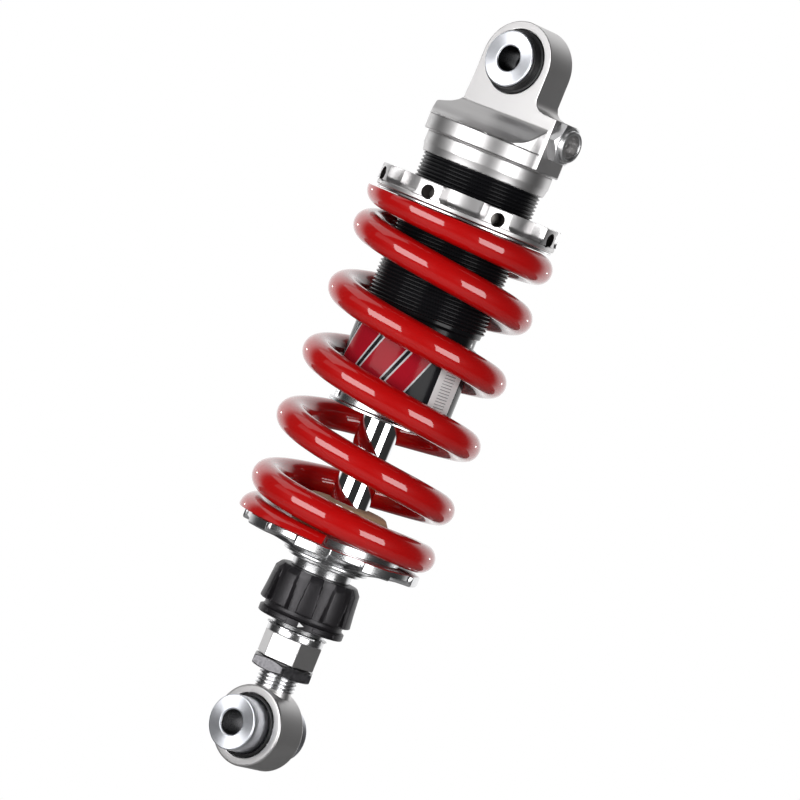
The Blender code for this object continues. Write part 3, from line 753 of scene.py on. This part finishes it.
def build_seal_head():
    outline = [
        (12.5, 151.0), (19.5, 151.0), (19.5, 136.8), (21.5, 136.6), (21.5, 132.5), (23.0, 132.2),
        (23.0, 131.1), (12.0, 131.1), (12.0, 134.6), (8.2, 134.6), (8.2, 146.8), (12.5, 146.8),
    ]
    dimples = 4
    first_dimple = 241.0
    head = lathe("gland", rounded(outline, 0.22), TURNED)
    for k in range(dimples):
        combine(head, spoke_cutter(1.3, 19.8, 24.0, first_dimple + 360 / dimples * k, 134.6))
    shade(head)
    settle(head, "damper", "machined_aluminium", "seal_head")


def build_rod():
    bottom = height_of("piston_rod", 0)
    top = 157.0
    outline = [(0, top), (ROD_R - 0.4, top), (ROD_R, top - 0.4), (ROD_R, bottom), (0, bottom)]
    settle(lathe("rod_shaft", outline, CHROME), "rod", "chrome", "piston_rod")


def build_foam():
    """Bump stop with a chamfered nose, a slight barrel shape and a waist groove."""
    low, high = FOAM_BOTTOM, FOAM_TOP
    outline = [
        (ROD_R + 0.15, high), (14.9, high), (16.2, high - 0.5), (18.9, high - 4.3),
        (19.1, high - 6.0), (18.9, low + 1.6), (18.3, low), (ROD_R + 0.15, low),
    ]
    stop = lathe("bump_stop_foam", rounded(outline, 0.8, 4), FOAM)
    settle(stop, "rod", "foam", "bump_stop")
    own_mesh(stop)


# Head and gas valve -----------------------------------------------------------


def shoulder_half():
    """Half of the milled shoulder's end view, from the lug face down and out: (depth, height)."""
    return [
        (6.8, 261.2), (7.8, 259.9), (8.4, 258.8), (9.3, 257.7), (10.8, 256.2), (12.3, 254.5),
        (14.0, 252.9), (16.2, 251.4), (18.6, 250.4), (21.0, 250.0), (30.0, 250.0),
    ]


def lug_outline():
    """Front view of lug and valve boss, with a fillet over the boss."""
    outline = [(BOSS_REACH, 243.6), (BOSS_REACH, 264.7)]
    outline += [(22.0, 264.9), (19.0, 265.6), (17.2, 267.0), (LUG_HALF_WIDTH, 269.0)]
    outline += [(LUG_HALF_WIDTH, 276.0)]
    outline += arc(0, EYE_TO_EYE, LUG_HALF_WIDTH, 0, 180, 61)
    outline += [(-LUG_HALF_WIDTH, 276.0), (-LUG_HALF_WIDTH, 243.6)]
    return outline


def side_limit_outline():
    """Front view of the shoulder: it rises to the flare at the left and keeps its full reach at the boss."""
    return [
        (30.0, 240.0), (30.0, 262.0), (-15.6, 262.0), (-16.6, 260.4), (-18.2, 258.2),
        (-20.0, 256.8), (-22.5, 255.8), (-24.6, 255.2), (-26.0, 254.2), (-27.3, 252.3),
        (-28.2, 249.6), (-30.0, 246.0), (-30.0, 240.0),
    ]


def build_head():
    step_r = 26.15
    skirt_bottom = 234.6
    skirt = [
        (0, 249.4), (HEAD_R, 249.4), (HEAD_R, 243.5), (HEAD_R - 0.25, 243.25), (25.8, 243.2),
        (25.8, 242.8), (26.0, 242.7), (step_r, 242.5), (step_r, 237.9), (25.9, 237.5),
        (25.35, skirt_bottom + 0.3), (25.05, skirt_bottom), (0, skirt_bottom),
    ]
    head = lathe("head_body", skirt, SATIN, FINE_STEPS)
    half = shoulder_half()
    end_view = half + [(30.0, 246.0), (-30.0, 246.0)] + [(-x, y) for x, y in reversed(half)]
    shoulder = prism("shoulder", end_view, -29.0, 29.0, "X")
    blank = rounded(disc(HEAD_R - 0.02, 246.5, 262.0), 0.01)
    combine(shoulder, lathe("blank", blank, None, FINE_STEPS), "INTERSECT")
    combine(shoulder, prism("limit", side_limit_outline(), -31.0, 31.0, "Y"), "INTERSECT")
    combine(head, shoulder, "UNION")
    combine(head, prism("lug", lug_outline(), -EYE_HALF_WIDTH, EYE_HALF_WIDTH, "Y"), "UNION")
    gas_space_r = 17.0
    thread_hole_r = TUBE_THREAD_R + GAP
    tube_end = TUBE_TOP + GAP
    tube_hole = [(0, 250.0), (gas_space_r, 250.0), (gas_space_r, tube_end)]
    tube_hole += [(thread_hole_r, tube_end), (thread_hole_r, 230.0), (0, 230.0)]
    combine(head, lathe("tube_hole", tube_hole, None, FINE_STEPS))
    combine(head, eye_bore(EYE_TO_EYE))
    combine(head, lathe("valve_hole", disc(4.5, 14.0, 40.0), None, 48, "X", VALVE_HEIGHT))
    soften(head, 0.42)
    settle(head, "damper", "machined_aluminium", "head")


def eye_bore(height):
    """Cutter for an eye's bore with its two circlip grooves."""
    reach = EYE_HALF_WIDTH + 1.0
    groove_r = 13.8
    outline = [(0, reach), (EYE_BORE_R, reach)]
    for inner, outer in ((5.9, 4.7), (-4.7, -5.9)):
        outline += [(EYE_BORE_R, inner), (groove_r, inner), (groove_r, outer), (EYE_BORE_R, outer)]
    outline += [(EYE_BORE_R, -reach), (0, -reach)]
    return lathe("eye_bore", outline, None, CUT_STEPS, "Y", height)


def chamfered_hexagon(name, across, low, high, turn, chamfer, material, axis="Z", height=0.0):
    """Hexagon with its corners turned to a cone at both ends."""
    cone_r = across / 2 / math.cos(math.pi / 6) + 0.1
    flat_r = across / 2 - 0.25
    body = prism(name, polygon(6, across, turn), low, high, "Z", material)
    if axis == "X":
        lay_along_x(body, height)
    cone = [(0, high), (flat_r, high), (cone_r, high - chamfer)]
    cone += [(cone_r, low + chamfer), (flat_r, low), (0, low)]
    combine(body, lathe("cone", cone, None, CUT_STEPS, axis, height), "INTERSECT")
    return body


def six_lobe(radius, lobe):
    """Outline of a six-lobe socket."""
    count = 96
    points = []
    for i in range(count):
        angle = 2 * math.pi * i / count
        reach = radius - lobe * (0.5 - 0.5 * math.cos(6 * angle)) ** 0.8
        points.append((reach * math.cos(angle), reach * math.sin(angle)))
    return points


def build_valve():
    across_flats = 15.0
    hexagon_end = 32.7
    nose_r = 6.6
    mouth_r = 5.3
    hole_r = 5.0
    floor = 30.2
    tip = VALVE_TIP
    start = BOSS_REACH - 0.3
    hexagon = chamfered_hexagon(
        "valve_hexagon", across_flats, start, hexagon_end, 0.0, 1.0, VALVE_METAL, "X", VALVE_HEIGHT)
    nose = [(0, tip), (nose_r - 0.6, tip), (nose_r - 0.2, tip - 0.4)]
    nose += [(nose_r, 32.5), (nose_r, 31.0), (0, 31.0)]
    combine(hexagon, lathe("nose", nose, None, CUT_STEPS, "X", VALVE_HEIGHT), "UNION")
    hole = [(0, 36.0), (mouth_r, 36.0), (mouth_r, tip - 0.1)]
    hole += [(hole_r, tip - 0.4), (hole_r, floor), (0, floor)]
    combine(hexagon, lathe("hole", hole, None, CUT_STEPS, "X", VALVE_HEIGHT))
    shade(hexagon, 25)
    settle(hexagon, "damper", "machined_aluminium", "gas_valve_body")
    face = tip - 0.55
    plug_outline = rounded(disc(hole_r - 0.1, floor + 0.2, face), 0.25)
    plug = lathe("valve_plug", plug_outline, SATIN, CUT_STEPS, "X", VALVE_HEIGHT)
    socket_depth = 2.4
    socket = prism("socket", six_lobe(4.2, 0.9), -socket_depth, socket_depth)
    lay_along_x(socket, VALVE_HEIGHT, face)
    combine(plug, socket)
    shade(plug, 25)
    settle(plug, "damper", "steel", "gas_valve_screw")
    pin = lathe("valve_pin", rounded(disc(1.1, 31.4, 32.6), 0.3), SATIN, 48, "X", VALVE_HEIGHT)
    settle(pin, "damper", "steel")


# Eyes -------------------------------------------------------------------------


def plain_seal():
    """Lip seal in the eye bore."""
    return [(12.75, 7.9), (12.75, 6.2), (11.3, 6.2), (11.3, 8.1), (11.6, 8.35), (12.2, 8.3)]


def booted_seal(reach):
    """Lip seal that carries on along the collar as a ribbed sleeve."""
    inner_r, root_r, rib_r = 11.25, 11.5, 11.85
    outline = [(12.75, 7.9), (12.75, 6.2), (inner_r, 6.2), (inner_r, reach), (root_r, reach)]
    ribs = 3
    pitch = (reach - 8.3) / ribs
    for rib in range(ribs):
        crest = reach - pitch * (rib + 0.45)
        outline += [(rib_r, crest), (root_r, crest - pitch * 0.45)]
    return outline + [(11.6, 8.2), (12.2, 8.1)]


def build_eye_parts(prefix, height, face, bodies, face_metal_and_bore_shade, seal_outline):
    """The collars and seals of one eye. The bodies are the housing and the bush; face_metal_and_bore_shade
    gives the face's metal and the bore's painted shade.
    """
    housing, bush = bodies
    outline = [
        (BOLT_BORE_R, 0.2), (BOLT_BORE_R, face - 0.5), (BOLT_BORE_R + 0.5, face),
        (BOLT_BORE_R + 0.9, face), (COLLAR_R - 0.7, face), (COLLAR_R - 0.35, face),
        (COLLAR_R, face - 0.35), (COLLAR_R, face - 0.8), (COLLAR_R, 6.3), (7.2, 6.3), (7.2, 0.2),
    ]
    for side, label in ((-1, "front"), (1, "rear")):
        turned = [(radius, side * along) for radius, along in rounded(outline, 0.15, 2)]
        collar = lathe(f"{prefix}_spacer_{label}", turned, face_metal_and_bore_shade[0], 128, "Y", height)
        # The second material is painted shade for the faces in the bolt bore
        collar.data.materials.append(face_metal_and_bore_shade[1])
        for part in collar.data.polygons:
            x, z = part.center[0] / MM, part.center[2] / MM - up(height)
            if math.hypot(x, z) < BOLT_BORE_R + 0.15:
                part.material_index = 1
        settle(collar, bush, "turned_collar", f"{prefix}_collar_{label}")
        lip = [(radius, side * along) for radius, along in rounded(seal_outline, 0.2)]
        seal = lathe(f"{prefix}_lip_seal_{label}", lip, RUBBER, 128, "Y", height)
        settle(seal, housing, "rubber", f"{prefix}_seal_{label}")


def build_lower_eye():
    """Eye ring whose threaded stud runs straight into it."""
    stud_top = height_of("lower_eye", 1)
    ring_r = 16.4
    root_r = 7.6
    half = EYE_HALF_WIDTH
    edge = 0.5
    outline = [(0, half), (ring_r - edge, half), (ring_r, half - edge)]
    outline += [(radius, -along) for radius, along in reversed(outline)]
    eye = lathe("eye_ring", outline, SATIN, FINE_STEPS, "Y")
    core = [(0, stud_top), (6.9, stud_top), (6.95, 17.2), (root_r, 16.2), (root_r, 10.0), (0, 10.0)]
    combine(eye, lathe("stud", core, None, CUT_STEPS), "UNION")
    combine(eye, eye_bore(0.0))
    soften(eye, 0.35)
    settle(eye, "eye", "machined_aluminium", "lower_eye")
    screw = thread("stud_thread", STUD_R, 1.0, 16.2, stud_top - 1.0, TURNED)
    settle(screw, "eye", "machined_aluminium")


def stud_hole():
    """Cutter for the hole that the stud screws into."""
    return lathe("stud_hole", disc(STUD_HOLE_R, 20.0, 40.0), None, CUT_STEPS)


# Rod end, nut and knob --------------------------------------------------------


def build_rod_end():
    outline = [
        (ROD_R + 0.2, ROD_END_TOP), (17.5, ROD_END_TOP), (17.5, 70.5), (15.0, 70.3), (15.0, 69.1),
        (12.15, 68.9), (12.15, 65.4), (11.6, 65.0), (11.6, 44.2), (11.0, 44.0), (11.0, 41.6),
        (10.3, 41.5), (10.3, 40.9), (11.75, 40.75), (11.75, 38.3), (11.5, 38.05), (9.0, 38.0),
        (ROD_R + 0.2, 45.0),
    ]
    upper = lathe("rod_end_journal", rounded(outline, 0.25), TURNED)
    settle(upper, "rod", "machined_aluminium")
    across_flats = 21.0
    top = 38.2
    turn = FRONT_ANGLE - 14.0
    body = chamfered_hexagon("rod_end_hex", across_flats, ROD_END_BOTTOM, top, turn, 0.05, SATIN)
    combine(body, stud_hole())
    soften(body, 0.28)
    settle(body, "rod", "machined_aluminium", "rod_end")


def build_lock_nut():
    across_flats = 24.0
    nut = chamfered_hexagon("jam_nut", across_flats, NUT_BOTTOM, NUT_TOP, FRONT_ANGLE + 30, 1.0, NUT_BLACK)
    combine(nut, stud_hole())
    soften(nut, 0.22)
    settle(nut, "jam_nut", "black_steel", "lock_nut")


def build_knob():
    """Ring knob: tapered lobes with a chamfered crown, a groove under them and a notched index skirt."""
    lobes = 10
    recesses = 5
    grip_bottom = 49.2
    crown = 2.4
    core_r = 16.3
    skirt_r = 17.65
    bore_r = 12.1
    rows = [
        (KNOB_TOP, core_r - 1.1, core_r - 1.1), (KNOB_TOP, 15.6, core_r - 0.9),
        (KNOB_TOP - 0.25, 16.1, core_r - 0.4), (KNOB_TOP - crown, 17.75, core_r),
        (KNOB_TOP - crown - 0.4, 17.95, core_r), (KNOB_TOP - 6.0, 18.2, core_r),
        (KNOB_TOP - 10.0, 18.5, core_r), (grip_bottom + 0.9, 19.05, core_r),
        (grip_bottom + 0.35, 18.95, core_r), (grip_bottom, 18.4, core_r),
        (grip_bottom, core_r - 0.2, core_r - 0.2),
    ]
    neck = [(grip_bottom - 0.6, 16.3), (47.6, 16.2), (46.9, 16.6)]
    neck += [(46.6, 17.3), (46.35, skirt_r), (46.1, skirt_r)]
    rows += [(height, radius, radius) for height, radius in neck]
    rows += [(height, skirt_r, skirt_r - 0.55) for height in (45.9, 44.6)]
    foot = [(44.4, skirt_r), (44.1, skirt_r), (KNOB_BOTTOM, 17.3), (KNOB_BOTTOM, bore_r), (KNOB_TOP, bore_r)]
    rows += [(height, radius, radius) for height, radius in foot]

    def place_at(row, angle):
        height, high_r, low_r = row
        if height < grip_bottom:
            share = 1 - lobe_share(angle, FRONT_ANGLE + 36, recesses, 34.0, 1.2)
        else:
            drop = (KNOB_TOP - height) / (KNOB_TOP - grip_bottom)
            share = lobe_share(angle, FRONT_ANGLE, lobes, 15.5 + 6.0 * drop, 1.6)
        return low_r + (high_r - low_r) * share, height

    knob = shaped_ring("knob_grip", rows, place_at, KNOB_BLACK, 28)
    settle(knob, "knob", "black_anodised", "rebound_knob")


def build_knob_mark():
    """A plain white triangle on the skirt that shows which way the knob is turned."""
    radius = 17.72
    middle_h = 45.3
    points = []
    for depth in (0.0, 0.06):
        for across, rise in ((2.4, 0.0), (0.0, 1.0), (0.0, -1.0)):
            turn = math.radians(FRONT_ANGLE) + (across - 0.6) / radius
            r = radius + depth
            points.append((r * math.cos(turn), r * math.sin(turn), up(middle_h + rise)))
    faces = [(0, 1, 2), (5, 4, 3), (0, 3, 4, 1), (1, 4, 5, 2), (2, 5, 3, 0)]
    look = Look("mark_white", (0.80, 0.80, 0.80), 0.45)
    look.vary_color(look.noise(2500.0, 3.0), 0.08)
    mark = add_mesh("knob_mark", points, faces, look.material)
    face_outward(mark)
    settle(mark, "knob", "black_anodised")


# Perches and preload ring -----------------------------------------------------


def build_lower_seat():
    """Perch with eight teeth round its rim. Between the teeth the rim and its underside are cut back."""
    teeth = 8
    top = 79.0
    bore_r = ROD_R + 0.3
    dish = [(bore_r, 83.0), (26.0, 83.0), (27.4, 81.6), (27.5, top + 0.15), (28.0, top)]
    tooth = [(36.3, top), (36.8, top - 0.45), (36.8, 75.3), (36.3, 74.75), (30.5, 74.3), (22.0, 72.8)]
    notch = [(35.2, top), (35.5, top - 0.35), (35.5, 76.6), (34.9, 76.1), (28.5, 75.2), (21.5, 73.4)]
    foot = [(18.2, SEAT_BOTTOM), (bore_r, SEAT_BOTTOM)]
    rows = list(zip(dish + tooth + foot, dish + notch + foot))

    def place_at(row, angle):
        (tooth_r, tooth_h), (notch_r, notch_h) = row
        share = lobe_share(angle, FRONT_ANGLE - 11.2, teeth, 20.6, 1.8)
        return notch_r + (tooth_r - notch_r) * share, notch_h + (tooth_h - notch_h) * share

    seat = shaped_ring("lower_perch", rows, place_at, TURNED, 30)
    settle(seat, "rod", "machined_aluminium", "lower_spring_seat")


def build_preload_ring():
    """Ring nut with eight lobes. The milled gaps between them have rounded lower corners."""
    lobe_r, floor_r, flange_r, bore_r = 38.0, 32.2, 37.2, 24.65
    shelf = RING_BOTTOM + 2.0
    corner = 2.2
    gap_half = 14.6
    flank = 2.2
    corner_heights = [shelf + corner * (1 - math.sin(math.radians(a))) for a in (0, 15, 30, 45, 60, 75, 90)]
    wall = [RING_TOP - 0.35, RING_TOP - 1.2, shelf + corner + 1.2] + corner_heights
    milled = [(RING_TOP, lobe_r - 0.4)] + [(height, lobe_r) for height in wall]
    plain = [
        (shelf - 0.05, flange_r - 0.3), (shelf - 0.35, flange_r), (RING_BOTTOM + 0.3, flange_r),
        (RING_BOTTOM, flange_r - 0.3), (RING_BOTTOM, bore_r), (RING_TOP - 1.8, bore_r),
        (RING_TOP - 0.6, 26.0), (RING_TOP - 0.6, 29.2),
    ]
    rows = [(RING_TOP, bore_r + 5.0, False)]
    rows += [(height, radius, True) for height, radius in milled]
    rows += [(height, radius, False) for height, radius in plain]

    def place_at(row, angle):
        height, radius, in_gap = row
        if not in_gap:
            return radius, height
        sink = max(0.0, shelf + corner - height)
        narrowing = corner - math.sqrt(max(0.0, corner ** 2 - sink ** 2))
        half = gap_half - math.degrees(narrowing / lobe_r)
        offset = abs((angle - RING_FIRST_LOBE) % RING_PITCH - RING_PITCH / 2)
        share = 1 - smooth((offset - half + flank) / flank)
        floor = floor_r + 0.8 * smooth(sink / corner) ** 2
        return radius - (radius - floor) * share, height

    ring = shaped_ring("preload_nut_ring", rows, place_at, SATIN, 30)
    for lobe in range(RING_LOBES):
        angle = RING_FIRST_LOBE + RING_PITCH * lobe
        combine(ring, spoke_cutter(SPANNER_HOLE_R, 30.6, 38.6, angle, SPANNER_HOLE_HEIGHT, 0.35))
    paint_hole_shade(ring)
    shade(ring, 30)
    settle(ring, "preload_nut", "machined_aluminium", "preload_ring")


def paint_hole_shade(ring):
    """Gives the spanner holes a darker, rougher face. The darker colour is painted shade."""
    ring.data.materials.append(SPANNER_HOLE_PAINTED_SHADE)
    for face in ring.data.polygons:
        x, y, z = (c / MM for c in face.center)
        radius = math.hypot(x, y)
        past_first = math.degrees(math.atan2(y, x)) - RING_FIRST_LOBE
        offset = (past_first + RING_PITCH / 2) % RING_PITCH - RING_PITCH / 2
        from_middle = math.hypot(radius * math.radians(offset), z - up(SPANNER_HOLE_HEIGHT))
        # Faces inside a spanner hole get the painted shade material
        if from_middle < SPANNER_HOLE_R + 0.05 and 30.4 < radius < 37.6:
            face.material_index = 1


def build_upper_seat():
    low, high = height_of("upper_spring_seat", 0), height_of("upper_spring_seat", 1)
    outline = [
        (24.75, high), (36.5, high), (36.5, high - 0.9), (27.6, high - 0.95), (27.6, low + 0.8),
        (26.8, low), (24.75, low),
    ]
    seat = lathe("upper_perch", rounded(outline, 0.25), TURNED)
    settle(seat, "upper_seat", "machined_aluminium", "upper_spring_seat")


# Spring -----------------------------------------------------------------------

SPRING_FIRST_TURN = -0.25
SPRING_LAST_TURN = 6.234
SPRING_SPLIT_TURN = 1.75
OPENING_TURN = 0.4
CLOSING_TURN = 4.6
SPRING_START_ANGLE = 215.4
SPRING_START_HEIGHT = 214.0
CLOSED_PITCH = 12.1
OPEN_PITCH = 26.9


def pitch_at(turn):
    """The coils are closed at both ends. The opening and the closing are spread over about a turn."""
    opening = smooth((turn - OPENING_TURN) / 1.0)
    closing = smooth((turn - CLOSING_TURN) / 0.9)
    return CLOSED_PITCH + (OPEN_PITCH - CLOSED_PITCH) * (opening - closing)


def spring_path(per_turn):
    """(turn, centre, next direction) along the left-hand helix, from the top down."""
    count = round((SPRING_LAST_TURN - SPRING_FIRST_TURN) * per_turn)
    step = (SPRING_LAST_TURN - SPRING_FIRST_TURN) / count
    height = SPRING_START_HEIGHT - SPRING_FIRST_TURN * CLOSED_PITCH
    path = []
    for i in range(count + 1):
        turn = SPRING_FIRST_TURN + step * i
        angle = math.radians(SPRING_START_ANGLE + 360 * turn)
        path.append((turn, angle, height))
        height -= step * pitch_at(turn + step / 2)
    return path


def build_spring_piece(name, path, share_at):
    """Sweeps the round wire along a stretch of the helix."""
    sides = 40
    points = []
    for turn, angle, height in path:
        out = Vector((math.cos(angle), math.sin(angle), 0))
        along = Vector((-math.sin(angle), math.cos(angle), 0)) * COIL_R * 2 * math.pi
        along.z = -pitch_at(turn)
        binormal = along.normalized().cross(out)
        center = out * COIL_R + Vector((0, 0, up(height)))
        for k in range(sides):
            roll = 2 * math.pi * k / sides
            point = center + (out * math.cos(roll) + binormal * math.sin(roll)) * WIRE_R
            point.z = min(max(point.z, up(SPRING_BOTTOM)), up(SPRING_TOP))
            points.append(tuple(point))
            share_at(turn)
    faces = []
    for i in range(len(path) - 1):
        for k in range(sides):
            m = (k + 1) % sides
            faces.append((sides * i + k, sides * i + m, sides * (i + 1) + m, sides * (i + 1) + k))
    last = sides * (len(path) - 1)
    if path[0][0] == SPRING_FIRST_TURN:
        faces.append(tuple(range(sides)))
    else:
        faces.append(tuple(range(last, last + sides)))
    piece = add_mesh(name, points, faces, RED, 40)
    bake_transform(piece)
    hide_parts("spring")


def build_spring():
    """Two lengths of one wire, cut apart after the first open coil."""
    path = spring_path(96)
    preload_start, preload_end = 0.6, 1.6
    stroke_end = 5.45
    cut = min(range(len(path)), key=lambda i: abs(path[i][0] - SPRING_SPLIT_TURN))

    def preload_share(turn):
        return smooth((turn - preload_start) / (preload_end - preload_start))

    def stroke_share(turn):
        return min(max((turn - SPRING_SPLIT_TURN) / (stroke_end - SPRING_SPLIT_TURN), 0.0), 1.0)

    build_spring_piece("spring_top_coils", path[:cut + 1], preload_share)
    build_spring_piece("spring_main_coils", path[cut:], stroke_share)


# Pieces that the frame already shapes -----------------------------------------


def dress_frame_nodes():
    """Gives the CAD nodes that stay, most of them hidden inside, their real finish."""
    finishes = {
        "steel": STEEL,
        "machined_aluminium": TURNED,
        "chrome": CHROME,
        "rubber": RUBBER,
        "bronze": BRONZE,
    }
    slots = {entry["node"]: entry["material_slot"] for entry in frame["record"]["subparts"]}
    for node, obj in frame["nodes"].items():
        if not obj.hide_render:
            obj.data.materials.clear()
            obj.data.materials.append(finishes[slots[node]])
            shade(obj)


# Stage ------------------------------------------------------------------------


def build_floor():
    """A wide floor far below. Only the camera sees it lit up, so that its light doesn't reach the object."""
    floor = lathe("floor", disc(FLOOR_R, -FLOOR_DEPTH - 10.0, -FLOOR_DEPTH), None, 96)
    look = Look("floor_white", (0.30, 0.30, 0.30), 0.85)
    look.vary_color(look.noise(3.0, 2.0), 0.01)
    look.shader.inputs["Emission Color"].default_value = (1, 1, 1, 1)
    seen_glow = 0.86
    seen = look.node("LightPath").outputs["Is Camera Ray"]
    look.connect(look.value_of("MULTIPLY", seen, seen_glow), look.shader.inputs["Emission Strength"])
    floor.data.materials.append(look.material)


def view_direction(azimuth, elevation):
    """From the object towards a viewer."""
    a, e = math.radians(azimuth), math.radians(elevation)
    return Vector((math.sin(a) * math.cos(e), -math.cos(a) * math.cos(e), math.sin(e)))


def add_softbox(name, side_angle, rise, distance, size, power, target):
    """An area light facing the target. The side angle is measured from the camera, to its right."""
    data = bpy.data.lights.new(name, "AREA")
    data.shape = "RECTANGLE"
    data.size, data.size_y = size
    data.energy = power
    light = bpy.data.objects.new(name, data)
    direction = view_direction(CAMERA_AZIMUTH + side_angle, rise)
    light.location = target + direction * distance
    light.rotation_mode = "QUATERNION"
    light.rotation_quaternion = (-direction).to_track_quat("-Z", "Y")
    bpy.context.scene.collection.objects.link(light)


def build_lights():
    """Two tall softboxes beside the camera, two small glints behind, and two panels for the head."""
    middle_point = Vector((0, 0, up(EYE_TO_EYE / 2) * MM))
    upper_point = Vector((0, 0, 0))
    add_softbox("softbox_left", -41.0, 2.0, 1.0, (0.82, 0.62), 8.4, middle_point)
    add_softbox("softbox_right", 40.0, 2.0, 1.0, (0.57, 0.62), 5.8, middle_point)
    add_softbox("glint_left", -140.0, 1.0, 1.0, (0.05, 0.05), 0.09, middle_point)
    add_softbox("glint_right", 140.0, 1.0, 1.0, (0.05, 0.05), 0.09, middle_point)
    add_softbox("head_panel", -76.0, 2.0, 0.5, (0.30, 0.20), 0.06, upper_point)
    add_softbox("shoulder_panel", -105.0, 42.0, 0.5, (0.40, 0.40), 0.40, upper_point)


def build_world():
    """Reflections see a surround, bright behind the object and dark in front. The camera sees plain white."""
    world = bpy.data.worlds.new("studio")
    bpy.context.scene.world = world
    world.use_nodes = True
    nodes = world.node_tree.nodes
    links = world.node_tree.links
    nodes.clear()
    output = nodes.new("ShaderNodeOutputWorld")
    place = nodes.new("ShaderNodeTexCoord")
    facing = nodes.new("ShaderNodeVectorMath")
    facing.operation = "DOT_PRODUCT"
    facing.inputs[1].default_value = -view_direction(CAMERA_AZIMUTH, 0)
    links.new(place.outputs["Generated"], facing.inputs[0])
    ramp = nodes.new("ShaderNodeMapRange")
    ramp.interpolation_type = "SMOOTHSTEP"
    for socket, number in zip(RANGE_SOCKETS, (0.42, 0.75, 0.03, 1.05)):
        ramp.inputs[socket].default_value = number
    links.new(facing.outputs["Value"], ramp.inputs["Value"])
    surround = nodes.new("ShaderNodeBackground")
    surround.inputs["Color"].default_value = (1, 1, 1, 1)
    links.new(ramp.outputs["Result"], surround.inputs["Strength"])
    plain = nodes.new("ShaderNodeBackground")
    plain.inputs["Color"].default_value = (1, 1, 1, 1)
    plain.inputs["Strength"].default_value = 1.0
    rays = nodes.new("ShaderNodeLightPath")
    choice = nodes.new("ShaderNodeMixShader")
    links.new(rays.outputs["Is Camera Ray"], choice.inputs["Fac"])
    links.new(surround.outputs[0], choice.inputs[1])
    links.new(plain.outputs[0], choice.inputs[2])
    links.new(choice.outputs[0], output.inputs["Surface"])


def build_camera():
    """Long lens at the product shot's angle, rolled so that the shock leans to the right."""
    back = view_direction(CAMERA_AZIMUTH, CAMERA_ELEVATION)
    right = Vector((0, 0, 1)).cross(back).normalized()
    upward = back.cross(right)
    roll = math.radians(CAMERA_ROLL)
    image_up = upward * math.cos(roll) - right * math.sin(roll)
    image_right = upward * math.sin(roll) + right * math.cos(roll)
    target = Vector((0, 0, up(AIM_HEIGHT) * MM)) + right * AIM_RIGHT * MM
    data = bpy.data.cameras.new("camera")
    data.lens = CAMERA_LENS
    data.sensor_width = 36.0
    data.clip_end = 50.0
    camera = bpy.data.objects.new("camera", data)
    camera.location = target + back * CAMERA_DISTANCE
    camera.rotation_mode = "QUATERNION"
    camera.rotation_quaternion = Matrix((image_right, image_up, back)).transposed().to_quaternion()
    bpy.context.scene.collection.objects.link(camera)
    bpy.context.scene.camera = camera


def build_stage():
    build_camera()
    build_floor()
    build_lights()
    build_world()
    bpy.context.scene.view_settings.view_transform = "Standard"


def build_shock():
    build_tube()
    build_label()
    build_seal_head()
    build_rod()
    build_foam()
    build_head()
    build_valve()
    build_eye_parts(
        "upper", EYE_TO_EYE, UPPER_FACE, ("damper", "upper_bush"),
        (UPPER_COLLAR_METAL, UPPER_BORE_PAINTED_SHADE), booted_seal(UPPER_FACE - 1.0))
    build_eye_parts(
        "lower", 0.0, LOWER_FACE, ("eye", "lower_bush"),
        (LOWER_COLLAR_METAL, LOWER_BORE_PAINTED_SHADE), plain_seal())
    build_lower_eye()
    build_rod_end()
    build_lock_nut()
    build_knob()
    build_knob_mark()
    build_lower_seat()
    build_preload_ring()
    build_upper_seat()
    build_spring()
    dress_frame_nodes()


build_stage()
build_shock()

bpy.context.view_layer.update()
